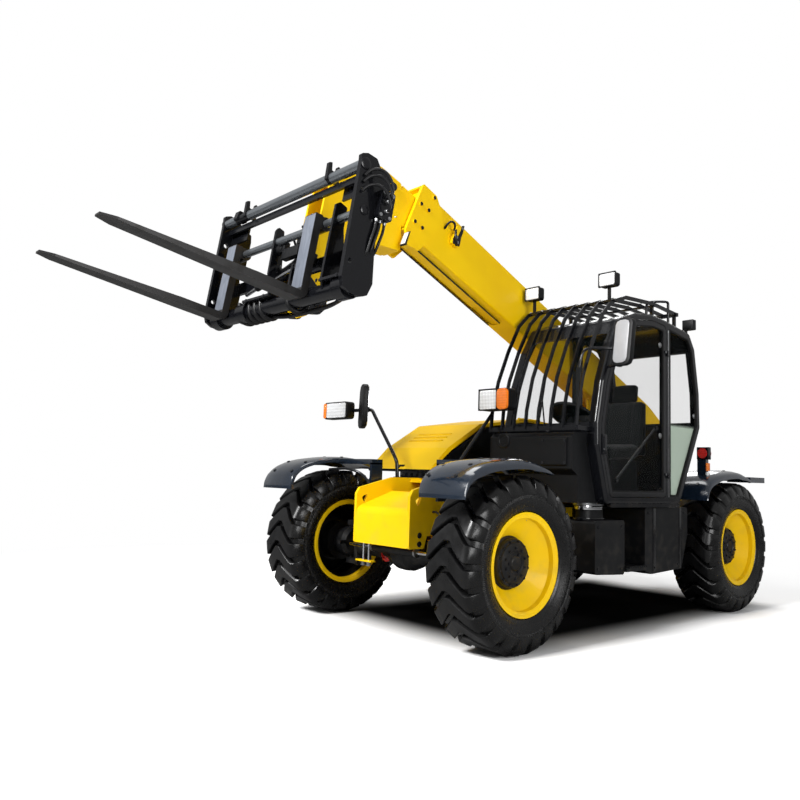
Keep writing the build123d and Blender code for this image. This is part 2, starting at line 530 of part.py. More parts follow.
SEAT_X = 380
with BuildPart() as seat:
    # base, cushion and backrest with its head pad
    extrude(flat(side(SEAT_X + 40), move([(850, FLOOR_Z + 0.3), (850, 1310), (1250, 1310),
                                          (1250, FLOOR_Z + 0.3)], CAB_Y), 15), amount=380)
    extrude(flat(side(SEAT_X), move([(750, 1300), (740, 1380), (790, 1425), (1240, 1410),
                                     (1280, 1300)], CAB_Y), 30), amount=460)
    extrude(flat(side(SEAT_X + 20), move([(1210, 1330), (1290, 1820), (1380, 1820), (1400, 1560),
                                          (1370, 1330)], CAB_Y), 30), amount=420)
    extrude(flat(side(SEAT_X + 110), move([(1290, 1790), (1315, 1960), (1385, 1960), (1380, 1790)], CAB_Y),
                 22), amount=240)
save(seat.part, "seat")
with BuildPart() as steering_console:
    extrude(flat(side(500), move([(470, FLOOR_Z + 0.3), (400, 1450), (470, 1560), (560, 1560), (560, 1400),
                                  (620, FLOOR_Z + 0.3)], CAB_Y), 18), amount=220)
    column = Plane(origin=(610, CAB_Y + 540, 1545), x_dir=(1, 0, 0), z_dir=(0, 0.5, 0.866))
    extrude(disc(column, (0, 0), 22), amount=110)
    with BuildSketch(column.offset(90)):
        Circle(190)
        Circle(165, mode=Mode.SUBTRACT)
        Rectangle(340, 30)
    extrude(amount=22)
save(steering_console.part, "steering_console")

# ---------------------------------------------------------------- engine side
HOOD = move([(-225, 1170), (-25, 1356), (355, 1576), (1005, 1668), (1440, 1640), (1610, 1480),
             (1672, 1170)], CAB_Y)
HOOD_HOLE = move([(-180, 1100), (-180, 1180), (10, 1332), (370, 1548), (1005, 1640), (1425, 1612),
                  (1585, 1466), (1644, 1100)], CAB_Y)
HOOD_IN = -180                       # edge of the hood beside the boom
with BuildPart() as hood:
    extrude(flat(side(HOOD_X), HOOD), amount=HOOD_IN - HOOD_X)
    fillet(hood.faces().sort_by(Axis.X)[0].edges().sort_by(Axis.Z)[1:], 22)
    fillet([e for e in hood.edges().filter_by(Axis.X) if 1300 < e.center().Z < 1650], 40)
    extrude(flat(side(HOOD_X + 28), HOOD_HOLE), amount=HOOD_IN - HOOD_X + 20, mode=Mode.SUBTRACT)
    # louvres across the front slope, each cut square to it
    slope = Plane(origin=(0, CAB_Y + 60, 1405), x_dir=(1, 0, 0), z_dir=(0, -0.501, 0.866))
    with BuildSketch(slope.offset(-60)):
        with Locations([((HOOD_X + HOOD_IN) / 2, 34 + 62 * i) for i in range(3)]):
            SlotOverall(430, 24)
    extrude(amount=120, mode=Mode.SUBTRACT)
    # hinge barrel along the inner top edge
    with Locations((HOOD_IN + 10, CAB_Y + 1005, 1655)):
        Cylinder(12, 300, rotation=(90, 0, 0))
save(hood.part, "hood")

with BuildPart() as engine_block:
    with Locations((-560, CAB_Y + 1060, 1180)):
        Box(460, 1000, 400)
save(engine_block.part, "engine_block")

# inner wall, floor over the wheel and side skirt under the hood
with BuildPart() as engine_bay:
    extrude(flat(side(-194), move([(-160, FRAME_TOP), (-160, 1176), (20, 1322), (377, 1536), (1000, 1627),
                                   (1420, 1600), (1575, 1460), (1632, FRAME_TOP)], CAB_Y)), amount=13)
    with Locations((-252, CAB_Y + 736, FRAME_TOP)):
        Box(116, 1792, 12, align=(Align.CENTER, Align.CENTER, Align.MIN))
    extrude(flat(side(HOOD_X + 3), move([(175, 980), (175, 1150), (-222, 1150), (-222, 1169.6),
                                         (1668, 1169.6), (1668, 980)], CAB_Y)), amount=14)
    with Locations((-633.65, CAB_Y - 23, 1150)):
        Box(646.7, 398, 12, align=(Align.CENTER, Align.CENTER, Align.MIN))
    with Locations((-633.65, CAB_Y + 169, 1065)):
        Box(646.7, 12, 170)
    # grille under the hood's front edge
    with Locations((-370, CAB_Y - 216, FRAME_TOP)):
        Box(340, 12, 55, align=(Align.CENTER, Align.CENTER, Align.MIN))
        with Locations([(x, 0, 14) for x in (-132, -66, 0, 66, 132)]):
            Box(48, 20, 26, align=(Align.CENTER, Align.CENTER, Align.MIN), mode=Mode.SUBTRACT)
save(engine_bay.part, "engine_bay")

with BuildPart() as right_sill:
    extrude(flat(side(HOOD_X), move([(175, 979.7), (175, 700), (260, 420), (1560, 420), (1660, 700),
                                     (1660, 979.7)], CAB_Y), 25), amount=-HOOD_X - FRAME_X - 0.3)
    # access hatch, sunk a little into the outer face
    extrude(flat(side(HOOD_X - 1), move([(420, 520), (1400, 520), (1400, 880), (420, 880)], CAB_Y), 40),
            amount=7, mode=Mode.SUBTRACT)
save(right_sill.part, "right_sill")

SKIRT = 690                          # how far tanks and step stand out from the frame
with BuildPart() as hydraulic_tank:
    extrude(flat(side(FRAME_X + 0.3), move([(330, 830), (330, 440), (720, 420), (720, 830)], CAB_Y), 25),
            amount=SKIRT)
    with BuildSketch(Plane.XY.offset(830)):
        with Locations((850, CAB_Y + 470)):
            SlotOverall(260, 150, rotation=90)
    extrude(amount=100, taper=3)
save(hydraulic_tank.part, "hydraulic_tank")
with BuildPart() as fuel_tank:
    extrude(flat(side(FRAME_X + 0.3), move([(1010, 925), (1010, 430), (1100, 400), (1580, 420), (1680, 700),
                                            (1680, 925)], CAB_Y), 30), amount=SKIRT)
save(fuel_tank.part, "fuel_tank")
with BuildPart() as cab_step:
    extrude(flat(side(FRAME_X + 0.3), move([(720.3, 900), (1009.7, 900), (1009.7, 915),
                                            (720.3, 915)], CAB_Y)), amount=400)
    # tread plate with a saw-tooth edge on a bracket
    extrude(flat(side(700), move([(720.3, 440), (1009.7, 440), (1009.7, 470), (720.3, 470)], CAB_Y)),
            amount=320)
    with Locations([(1020, CAB_Y + 745 + 30 * i, 474) for i in range(9)]):
        Box(36, 14, 12)
save(cab_step.part, "cab_step")

with BuildPart() as counterweight:
    extrude(flat(side(-360), move([(600.3, 600), (750, 640), (755, 1150), (710, 1210),
                                   (600.3, 1210)], AXLE_R)), amount=720)
    fillet(counterweight.edges().filter_by(Axis.Z).sort_by(Axis.Y)[-2:], 40)
    # tow clevis under it
    with Locations((0, AXLE_R + 615, 553)):
        Box(120, 29.4, 106)
    for z in (505, 575):
        with BuildSketch(Plane.XY.offset(z)):
            with Locations((0, AXLE_R + 645)):
                Rectangle(90, 90)
            with Locations((0, AXLE_R + 690)):
                Circle(45)
        extrude(amount=25)
    with Locations((0, AXLE_R + 690, 552)):
        Cylinder(16.5, 95, mode=Mode.SUBTRACT)
save(counterweight.part, "counterweight")

# ---------------------------------------------------------------- fenders
# middle line of the skin from the axle: Y and Z
ARCH = [(-714, 985), (-662, 1092), (-495, 1166), (-264, 1210), (28, 1228), (188, 1199), (270, 1160)]
LIP = [(-440, 1166), (-400, 1186), (-264, 1206), (28, 1222), (188, 1192), (225, 1166)]
for name, yc in (("fenders_front", AXLE_F), ("fenders_rear", AXLE_R)):
    with BuildPart() as fenders:
        for x, edge in ((-1120, -1120), (720, 1102)):
            extrude(strip(side(x), move(ARCH, yc), 45, 22), amount=400)
            # turned-down outer edge
            extrude(flat(side(edge), move(LIP, yc)), amount=18)
        # arms to the frame: X of the lower end, length, Z of the underside, height
        for sx in (-1, 1):
            for x, length, z, height in ((FRAME_X + 0.3, 460, 1196, 24), (FRAME_X + 0.3, 24, 940, 268)):
                with Locations((sx * (x + length / 2), yc - 40, z + height / 2)):
                    Box(length, 110, height)
            if yc == AXLE_R:
                # lamp post in front of the cab's back corner, and the box behind the wheel
                with Locations((sx * 975, yc - 400, 1175)):
                    Box(80, 46, 240, align=(Align.CENTER, Align.CENTER, Align.MIN))
                with Locations((sx * 1000, yc + 390, 1152)):
                    Box(220, 300, 50, align=(Align.CENTER, Align.CENTER, Align.MIN))
    save(fenders.part, name)

# ---------------------------------------------------------------- mirrors and lamps
with BuildPart() as mirror_left:
    add(rounded_box((CAB_OUT + 165, CAB_Y + 345, 2135), (150, 60, 360), 45))
    with Locations((CAB_OUT + 50, CAB_Y + 405, 1975)):
        Cylinder(12, 100, rotation=(0, 90, 0))
    with Locations((CAB_OUT + 95, CAB_Y + 384, 1990)):
        Box(30, 68, 54)
save(mirror_left.part, "mirror_left")
MIRROR_Y = CAB_Y - 440
with BuildPart() as mirror_right:
    # leaning pole on a foot, mirror head, lamp
    extrude(disc(Plane(origin=(-330, MIRROR_Y, 1100), x_dir=(1, 0, 0), z_dir=(-0.2, 0, 1)), (0, 0), 16),
            amount=560)
    with Locations((-327.8, MIRROR_Y, 1070)):
        Box(35, 60, 70)
    add(rounded_box((-790, MIRROR_Y, 1690), (160, 50, 380), 60))
    with Locations((-620, MIRROR_Y, 1640)):
        Cylinder(13, 420, rotation=(0, 90, 0))
    add(rounded_box((-1130, MIRROR_Y, 1665), (330, 90, 150), 28))
    with Locations((-920, MIRROR_Y, 1665)):
        Box(140, 24, 24)
save(mirror_right.part, "mirror_right")
with BuildPart() as head_lamp:
    add(rounded_box((300, CAB_Y + 30, 1730), (300, 90, 170), 28))
    with Locations((307, CAB_Y + 82, 1700)):
        Box(40, 23.4, 10)
save(head_lamp.part, "head_lamp")
with BuildPart() as roof_lamps:
    for x in (230, 960):
        add(rounded_box((x, CAB_Y + 560, 2680), (150, 60, 110), 22))
        with Locations((x, CAB_Y + 560, 2519.3)):
            Box(20, 20, 110, align=(Align.CENTER, Align.CENTER, Align.MIN))
save(roof_lamps.part, "roof_lamps")
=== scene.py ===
# %% [markdown]
# # A telehandler in its working finish
# A telehandler is a tractor-sized fork truck: four big wheels that all steer, a cab on the left, an
# engine under a hood on the right, and between them a telescopic boom that carries a fork carriage.
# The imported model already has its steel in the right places, so it is loaded as a fixed frame.

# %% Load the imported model
from math import cos, sin, radians, pi, hypot
import bpy
import bmesh
from mathutils import Vector, Matrix


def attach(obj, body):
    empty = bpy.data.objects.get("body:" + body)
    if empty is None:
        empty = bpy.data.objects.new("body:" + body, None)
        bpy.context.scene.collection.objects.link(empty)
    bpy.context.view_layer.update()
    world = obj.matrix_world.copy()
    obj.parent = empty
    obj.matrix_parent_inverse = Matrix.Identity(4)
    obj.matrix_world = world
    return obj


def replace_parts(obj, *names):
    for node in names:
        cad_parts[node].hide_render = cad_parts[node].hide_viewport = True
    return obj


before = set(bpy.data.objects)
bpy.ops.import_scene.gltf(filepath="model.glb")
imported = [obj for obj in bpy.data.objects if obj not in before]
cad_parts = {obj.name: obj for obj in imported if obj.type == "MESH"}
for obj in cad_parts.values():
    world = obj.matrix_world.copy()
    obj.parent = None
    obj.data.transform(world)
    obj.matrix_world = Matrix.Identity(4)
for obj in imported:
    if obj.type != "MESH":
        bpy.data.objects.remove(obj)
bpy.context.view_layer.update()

# %% [markdown]
# ## From the maker's drawing to Blender
# The drawing is in millimetres and Blender works in metres. Much of the machine leans: the boom rises
# at 23 degrees, and the carriage lies back a little on its pin. It is easier to place a hose on the
# boom by how far along the boom it sits than by its height above the ground. So three small functions
# turn a point on the machine, on the boom or on the carriage into Blender's metres.

# %% Points on the machine, the boom and the carriage
BOOM, FORKS = radians(23.25), radians(9.93)
PIN = Vector((0, 2.715, 1.620))
HEEL = PIN + Vector((0, -4.5262 * cos(BOOM) - 1.2981 * sin(BOOM), 4.5262 * sin(BOOM) - 1.2981 * cos(BOOM)))


def on_machine(x, y, z):
    return Vector((x, y, z)) / 1000


def on_boom(x, along, up):
    """x to the left, along the boom from its rear pin, and square to it."""
    return PIN + Vector((x, -along * cos(BOOM) + up * sin(BOOM), along * sin(BOOM) + up * cos(BOOM))) / 1000


def on_carriage(x, out, up):
    """x to the left, forward along the fork blades, and up the fork shanks."""
    return HEEL + Vector((x, -out * cos(FORKS) + up * sin(FORKS), out * sin(FORKS) + up * cos(FORKS))) / 1000


AXLE_F, AXLE_R, WHEEL_Z, TYRE_MID = -585, 2410, 572, 926
SIDES = (-1, 1)
print("fork heel at", [round(v, 3) for v in HEEL])

# %% [markdown]
# ## The camera
# A machine like this looks its best from low down at its front left corner through a short lens, so
# that the forks reach out and the near wheel looks big. The three angles are its heading round the
# machine, a slight look upwards and a small roll. Cross products turn them into the camera's own axes.

# %% Camera


def in_scene(name, data):
    """A new object in the scene that shows this data."""
    made = bpy.data.objects.new(name, data)
    bpy.context.scene.collection.objects.link(made)
    return made


HEADING, PITCH, ROLL = radians(48.474), radians(5.6155), radians(1.8384)
look = Vector((-sin(HEADING) * cos(PITCH), cos(HEADING) * cos(PITCH), sin(PITCH)))
right = Vector((cos(HEADING), sin(HEADING), 0))
up = right.cross(look)
right, up = cos(ROLL) * right + sin(ROLL) * up, cos(ROLL) * up - sin(ROLL) * right
optics = bpy.data.cameras.new("camera")
optics.lens, optics.sensor_width, optics.clip_end = 34.436, 36, 200
camera = in_scene("camera", optics)
camera.matrix_world = Matrix.LocRotScale(Vector((4.2674, -4.5065, 1.1167)),
    Matrix((right, up, -look)).transposed(), None)
bpy.context.scene.camera = camera
bpy.context.scene.view_settings.view_transform = "Standard"
print("camera stands", round(camera.matrix_world.translation.z, 2), "m above the ground")

# %% [markdown]
# ## Shader sums as Python
# A finish is a small sum: paint colour, plus dust where the surface is low, minus gloss where it is
# scuffed. Wiring each sum by hand hides it in boxes and wires. The class below wraps a socket, so that
# `1 - dust * 0.5` adds the Math nodes by itself. Any other node comes from one method, `node`, which
# takes the node's type, its settings and its sockets.

# %% Paint and its sums


class Value:
    """A node's output that takes part in arithmetic."""

    def __init__(self, paint, socket):
        self.paint, self.socket = paint, socket

    def sum(self, operation, a, b):
        return self.paint.node("Math", {"operation": operation}, {0: a, 1: b})

    def alone(self, operation):
        """A sum of this value only, such as its sine."""
        return self.paint.node("Math", {"operation": operation}, {0: self})

    def larger(self, other):
        return self.sum("MAXIMUM", self, other)

    def __add__(self, other):
        return self.sum("ADD", self, other)

    def __sub__(self, other):
        return self.sum("SUBTRACT", self, other)

    def __rsub__(self, other):
        return self.sum("SUBTRACT", other, self)

    def __mul__(self, other):
        return self.sum("MULTIPLY", self, other)

    def __gt__(self, other):
        return self.sum("GREATER_THAN", self, other)

    __radd__, __rmul__ = __add__, __mul__


class Paint:
    """A material as it is being mixed."""

    def __init__(self, name):
        self.material = bpy.data.materials.new(name)
        self.material.use_nodes = True
        self.tree = self.material.node_tree
        self.tree.nodes.clear()
        self.place = self.node("TexCoord", out="Object")

    def node(self, kind, settings=None, sockets=None, out=0):
        new = self.tree.nodes.new("ShaderNode" + kind)
        for key, value in (settings or {}).items():
            if key == "stops":
                while len(new.color_ramp.elements) < len(value):
                    new.color_ramp.elements.new(1)
                for stop, (at, colour) in zip(new.color_ramp.elements, value):
                    stop.position, stop.color = at, colour
            else:
                setattr(new, key, value)
        for key, value in (sockets or {}).items():
            if isinstance(value, Value):
                self.tree.links.new(value.socket, new.inputs[key])
            else:
                new.inputs[key].default_value = value
        return Value(self, new.outputs[out]) if len(new.outputs) else None

    def noise(self, scale, detail=2, stretch=None):
        """Cloudy pattern from 0 to 1, with so many clouds to the metre, drawn out along an axis."""
        place = self.place
        if stretch:
            place = self.node("Mapping", {}, {"Vector": place, "Scale": stretch})
        return self.node("TexNoise", {}, {"Vector": place, "Scale": scale, "Detail": detail})

    def fade(self, value, start, end, low=0.0, high=1.0):
        """Runs from low to high while the value runs from start to end."""
        return self.node("MapRange", {"interpolation_type": "SMOOTHSTEP"},
            {"Value": value, "From Min": start, "From Max": end, "To Min": low, "To Max": high})

    def mix(self, share, a, b):
        return self.node("Mix", {"data_type": "RGBA"}, {0: share, 6: a, 7: b}, out=2)

    def part(self, axis, place=None):
        return self.node("SeparateXYZ", {}, {0: place or self.place}, out=axis)

    def edges(self, width):
        """1 on edges that get rubbed, 0 on flat ground."""
        rounded = self.node("Bevel", {"samples": 3}, {"Radius": width})
        true = self.node("NewGeometry", out="Normal")
        return 1 - self.node("VectorMath", {"operation": "DOT_PRODUCT"}, {0: rounded, 1: true}, out="Value")

    def bump(self, height, distance, strength=1.0, below=None):
        sockets = {"Height": height, "Distance": distance, "Strength": strength}
        if below:
            sockets["Normal"] = below
        return self.node("Bump", {}, sockets)

    def finish(self, **sockets):
        """Ends in a Principled shader, its socket names written with _ for a space."""
        named = {key.replace("_", " "): value for key, value in sockets.items()}
        shader = self.node("BsdfPrincipled", {}, named)
        self.node("OutputMaterial", {}, {"Surface": shader})
        return self.material


def grey(level):
    return (level, level, level, 1)


print("shader sums are ready")

# %% [markdown]
# ## Yellow and black enamel
# Construction machines are sprayed with thick two-part enamel. Close up it has orange peel, a skin of
# tiny waves a few millimetres apart, which makes reflections wander. Dust settles on the lowest
# metre, and edges lose a little gloss and colour. One recipe does all the paints, because the spray
# gun is the same and only the pot changes. The rims get the yellow too, with a painted shade in their
# wells up to the dish, so the paint looks at how far a point is from its wheel's middle.

# %% Enamel
HUB_FACE, DISH_DEPTH, WELL_FOOT = 0.946, 0.092, 0.80  # metres from the middle of the machine
HUB_EDGE, DISH_EDGE, WELL_EDGE = 0.17, 0.288, 0.3  # metres from the axle


def enamel(name, colour, deep, rubbed, rough, coat, shine, well_shade=None):
    """The last argument is a painted shade: the colour inside a rim, between its dish and the axle."""
    paint = Paint(name)
    clouds = paint.noise(1.7, 3)
    shade = paint.mix(paint.fade(clouds, 0.35, 0.7), deep, colour)
    low = paint.fade(paint.part("Z"), 0.25, 1.3, 1.0, 0.0)
    dust = low * paint.fade(paint.noise(9, 4), 0.45, 0.75) * 0.16
    wear = paint.fade(paint.edges(0.004), 0.03, 0.25) * paint.fade(paint.noise(30, 3), 0.4, 0.62)
    shade = paint.mix(wear * 0.5, shade, rubbed)
    shade = paint.mix(dust, shade, (0.20, 0.165, 0.12, 1))
    # Painted shade: inside a rim's well, between its dish and the axle, the yellow turns to the dark well
    # colour.
    if well_shade:
        across = paint.part("X").alone("ABSOLUTE")
        fore = (paint.part("Y") - (AXLE_F + AXLE_R) / 2000).alone("ABSOLUTE")
        fore = (fore - (AXLE_R - AXLE_F) / 2000).alone("ABSOLUTE")
        rise = paint.part("Z") - WHEEL_Z / 1000
        out = (fore * fore + rise * rise).alone("SQRT")
        dish = HUB_FACE + paint.fade(out, HUB_EDGE, DISH_EDGE, 0.0, DISH_DEPTH)
        inner = (dish > across) * (1 - (out > WELL_EDGE))
        shade = paint.mix(inner * (across > WELL_FOOT), shade, well_shade)
    peel = paint.bump(paint.noise(260, 1), 0.00035)
    waves = paint.bump(paint.noise(22, 2), 0.0012, 0.5, below=peel)
    return paint.finish(Base_Color=shade, Roughness=rough + dust + wear * 0.15 + clouds * 0.05,
        Coat_Weight=coat, Coat_Roughness=0.06, Specular_IOR_Level=shine, Normal=waves)


YELLOW_POT = (0.96, 0.62, 0.002, 1), (0.93, 0.57, 0.0015, 1), (0.98, 0.74, 0.05, 1), 0.36, 0.10, 0.16
YELLOW = enamel("yellow_enamel", *YELLOW_POT)
BLACK = enamel("black_enamel", (0.0045, 0.005, 0.0065, 1), (0.003, 0.0032, 0.0045, 1), (0.05, 0.053, 0.06, 1),
    0.22, 0.4, 0.2)
RIM_PAINT_SHADED_WELL = enamel("rim_enamel_shaded_well", *YELLOW_POT, well_shade=grey(0.006))
print("enamels:", YELLOW.name, BLACK.name, RIM_PAINT_SHADED_WELL.name)

# %% [markdown]
# ## Cast, moulded and rubber surfaces
# Axles and hubs are rough sand castings under a thin coat of black. Lamp cases and mirror frames are
# moulded plastic with a fine leather-like grain, and the fenders are a glossier one, tinted blue as a
# painted reflection of the sky. Tyres are a matt black compound with fine mould lines on the side
# wall, which follow the wheel round, so they read a map that the tyre's own mesh carries: how far
# round, and how far out.

# %% Cast iron, plastics and rubber


def moulded(name, colour, scale, depth, rough, coat=0.0, shine=0.22):
    paint = Paint(name)
    worn = tuple(c * 1.25 + 0.001 for c in colour[:3]) + (1,)
    shade = paint.mix(paint.fade(paint.noise(4, 3), 0.35, 0.7), colour, worn)
    low = paint.fade(paint.part("Z"), 0.15, 1.2, 1.0, 0.0)
    dust = low * paint.fade(paint.noise(14, 4), 0.45, 0.7) * 0.14
    shade = paint.mix(dust, shade, (0.16, 0.14, 0.115, 1))
    grain = paint.noise(scale, 2)
    return paint.finish(Base_Color=shade, Roughness=rough + grain * 0.12 + dust, Coat_Weight=coat,
        Coat_Roughness=0.1, Specular_IOR_Level=shine, Normal=paint.bump(grain, depth))


CAST = moulded("black_casting", (0.005, 0.0053, 0.006, 1), 320, 0.0009, 0.4, 0.15)
PLASTIC = moulded("grained_plastic", (0.0045, 0.0048, 0.0055, 1), 900, 0.0002, 0.38)
# The fender plastic is tinted blue, a painted reflection of the sky.
FENDER_SKY_TINTED = moulded("fender_plastic", (0.0055, 0.011, 0.021, 1), 500, 0.0001, 0.14, 1.0, 0.5)
SEAL = moulded("door_seal", (0.005, 0.005, 0.005, 1), 200, 0.0001, 0.62)
HOSE = moulded("hose_rubber", (0.006, 0.006, 0.0065, 1), 420, 0.0003, 0.34, 0.12)
# The pale grey mirror face is a painted highlight on the glossy back of the left mirror's head.
MIRROR_HIGHLIGHT_FACE = moulded("mirror_highlight_face", (0.30, 0.30, 0.31, 1), 700, 0.0001, 0.22, 0.2, 0.4)
GROUND_CAST = moulded("engine_grey", (0.06, 0.062, 0.065, 1), 260, 0.0008, 0.5)


def tyre_rubber():
    paint = Paint("tyre_rubber")
    wheel = paint.node("UVMap", {"uv_map": "wheel"})
    out, turn = paint.part("Y", wheel), paint.part("X", wheel)
    rings = (out * 1150).alone("SINE") * paint.fade(out, 0.36, 0.372) * paint.fade(out, 0.462, 0.45)
    ticks = (turn * 1500).alone("SINE") * paint.fade(out, 0.424, 0.428) * paint.fade(out, 0.449, 0.445)
    height = rings * 0.4 + ticks + paint.noise(160, 3) * 0.5
    worn = paint.fade(out, 0.545, 0.572) * paint.fade(paint.noise(11, 4), 0.3, 0.7)
    shade = paint.mix(worn * 0.7, (0.0016, 0.0016, 0.0018, 1), (0.005, 0.005, 0.0056, 1))
    dust = paint.fade(paint.noise(6, 5), 0.5, 0.72) * 0.08
    shade = paint.mix(dust, shade, (0.03, 0.027, 0.024, 1))
    return paint.finish(Base_Color=shade, Roughness=0.2 + worn * 0.16 + paint.noise(40, 3) * 0.16,
        Specular_IOR_Level=0.4, Normal=paint.bump(height, 0.0011))


RUBBER = tyre_rubber()
print("seven mouldings and the tyre compound")

# %% [markdown]
# ## Bright metal, glass and lenses
# Cylinder rods are hard chrome, ground along and polished. Forks are oiled plate with mill scale and
# scratches that run along the blade. Cab glass is thin and faintly green, so most light goes straight
# through: a see-through share in the shader does that more cheaply than real refraction, and it also
# survives export. Lenses are moulded in fine vertical flutes.

# %% Metals


def metal(name, colour, rough, stretch, depth, metallic=1.0, spots=None):
    paint = Paint(name)
    streaks = paint.noise(60, 3, stretch=stretch)
    shade = paint.mix(paint.fade(streaks, 0.3, 0.7), colour, tuple(c * 0.8 for c in colour[:3]) + (1,))
    if spots:
        shade = paint.mix(paint.fade(paint.noise(7, 5), 0.52, 0.66) * 0.8, shade, spots)
    return paint.finish(Base_Color=shade, Roughness=rough + streaks * 0.12, Metallic=metallic,
        Normal=paint.bump(streaks, depth))


CHROME = metal("rod_chrome", (0.72, 0.73, 0.75, 1), 0.08, (1, 0.15, 0.15), 0.00004)
ZINC = metal("zinc_bolts", (0.42, 0.43, 0.44, 1), 0.3, (1, 1, 1), 0.0001, spots=(0.24, 0.24, 0.24, 1))
SHAFT = metal("ground_shaft", (0.36, 0.39, 0.42, 1), 0.22, (0.05, 1, 1), 0.00008, 0.9)
FORK_STEEL = metal("fork_steel", (0.035, 0.034, 0.034, 1), 0.3, (0.3, 0.04, 0.3), 0.0002, 0.55,
    spots=(0.018, 0.0165, 0.015, 1))
SCUFFED = metal("scuffed_shank", (0.24, 0.265, 0.32, 1), 0.3, (1, 0.3, 0.1), 0.0001, 0.35,
    spots=(0.17, 0.19, 0.23, 1))
print("chrome, zinc and worked steel")

# %% Glass and lenses


def glazing(name, colour, alpha, painted_sky=None):
    """The last argument is a painted reflection of the sky: a pale colour on the low rear side pane, beyond the
    door post.
    """
    paint = Paint(name)
    haze = paint.fade(paint.noise(3, 4), 0.4, 0.7)
    smear = paint.noise(5, 3, stretch=(1, 1, 0.25))
    shade = paint.mix(haze, colour, tuple(c * 1.3 for c in colour[:3]) + (1,))
    clear = alpha + smear * 0.03
    if painted_sky:
        # Painted reflection: the low part of the rear side pane turns pale and more opaque, standing in for the
        # sky.
        pane = (paint.part("X") > 1.0) * (paint.part("Y") > 1.27)
        low = pane * paint.fade(paint.part("Z"), 1.62, 1.58)
        shade = paint.mix(low, shade, painted_sky)
        clear = clear + low * 0.5 - pane * 0.02
    return paint.finish(Base_Color=shade, Roughness=0.03 + haze * 0.03, Alpha=clear, Specular_IOR_Level=0.3,
        Normal=paint.bump(smear, 0.0004))


def lens(name, colour, pitch, glow):
    paint = Paint(name)
    flutes = (paint.part("X") * (2 * pi / pitch)).alone("SINE")
    flutes = flutes + (paint.part("Z") * (1.2 * pi / pitch)).alone("SINE") * 0.5
    # The flute troughs are painted darker and the crests lighter, a painted shading of the flutes.
    shade = paint.mix(paint.fade(flutes, -1.2, 1.2), tuple(c * 0.72 for c in colour[:3]) + (1,), colour)
    return paint.finish(Base_Color=shade, Roughness=0.08 + paint.noise(30) * 0.05, Coat_Weight=0.6,
        Coat_Roughness=0.03, Emission_Color=shade, Emission_Strength=glow, Normal=paint.bump(flutes, 0.0012))


GLASS = glazing("cab_glass", (0.006, 0.010, 0.009, 1), 0.06, (0.62, 0.74, 0.62, 1))
# The door glass is tinted darker than the other panes, a painted shade over the cab's inside.
SHADED_DOOR_GLASS = glazing("door_glass", (0.001, 0.003, 0.003, 1), 0.07)
MIRROR = metal("mirror_silver", (0.80, 0.82, 0.84, 1), 0.02, (1, 1, 1), 0.00002)
# Each lens glows faintly by emission. The red one also dresses the tow point and the reflectors, which are no
# lamps, so on them the glow is painted light.
CLEAR_LENS = lens("clear_lens", (0.82, 0.83, 0.84, 1), 0.016, 0.12)
AMBER = lens("amber_lens", (0.95, 0.22, 0.01, 1), 0.012, 0.10)
RED = lens("red_lens", (0.62, 0.012, 0.008, 1), 0.011, 0.05)
print("glass, mirror and lenses")

# %% Seat cloth


def seat_cloth():
    paint = Paint("seat_cloth")
    weft = (paint.part("Y") * 2300 + paint.part("Z") * 2300).alone("SINE")
    weave = (paint.part("X") * 2600).alone("SINE") * weft
    shade = paint.mix(paint.fade(weave, -1, 1), (0.004, 0.0048, 0.005, 1), (0.010, 0.012, 0.0125, 1))
    shade = paint.mix(paint.fade(paint.noise(9, 4), 0.45, 0.7) * 0.5, shade, (0.013, 0.014, 0.014, 1))
    return paint.finish(Base_Color=shade, Roughness=0.88 + weave * 0.04, Sheen_Weight=0.1,
        Specular_IOR_Level=0.08, Normal=paint.bump(weave, 0.0003))


CLOTH = seat_cloth()
print("cloth woven")

# %% [markdown]
# ## Every part of the frame gets its finish
# The frame's parts keep their shape and only change their material. A short table says which part
# wears what. Anything that the table leaves out is black enamel, as on the real machine, where the
# chassis below the cab, the cab itself and all brackets are black.

# %% Finishes of the frame
WORN = {YELLOW: ["chassis_frame", "boom_outer", "boom_inner", "hood", "lift_barrel", "tilt_barrel"],
    RIM_PAINT_SHADED_WELL: ["rim_fl", "rim_fr", "rim_rl", "rim_rr"],
    CAST: ["front_axle", "rear_axle", "knuckle_fl", "knuckle_fr", "knuckle_rl", "knuckle_rr", "counterweight"],
    PLASTIC: ["cab_cowl", "steering_console", "mirror_left", "mirror_right", "head_lamp", "roof_lamps",
        "cab_step", "right_sill", "hydraulic_tank", "fuel_tank"], FENDER_SKY_TINTED: ["fenders_front", "fenders_rear"],
    CHROME: ["lift_rod", "tilt_rod"], FORK_STEEL: ["fork_left", "fork_right"], GLASS: ["cab_glass"],
    SHADED_DOOR_GLASS: ["door_glass"], GROUND_CAST: ["engine_block"],
    RUBBER: ["tyre_fl", "tyre_fr", "tyre_rl", "tyre_rr"], CLOTH: ["seat"],}
finish_of = {node: paint for paint, nodes in WORN.items() for node in nodes}
for name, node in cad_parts.items():
    for slot in node.material_slots or [None]:
        if slot:
            slot.material = finish_of.get(name, BLACK)
        else:
            node.data.materials.append(finish_of.get(name, BLACK))
print(len(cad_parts), "parts finished,", len(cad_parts) - len(finish_of), "of them in black enamel")

# %% [markdown]
# ## Shapes from drawings
# Most pieces of a machine are one of three things: plate cut to an outline, something turned on a
# lathe, or a bent tube. Each small function below returns corners and faces, and `piece` joins several
# of them, rounds their sharp edges a little, points the faces outwards and hangs the result on a body
# of the model. A real edge is never knife-sharp, and the rounding catches the light. `bent` draws a
# smooth line through space and gives it a round section.

# %% Plates, turned shapes and pieces


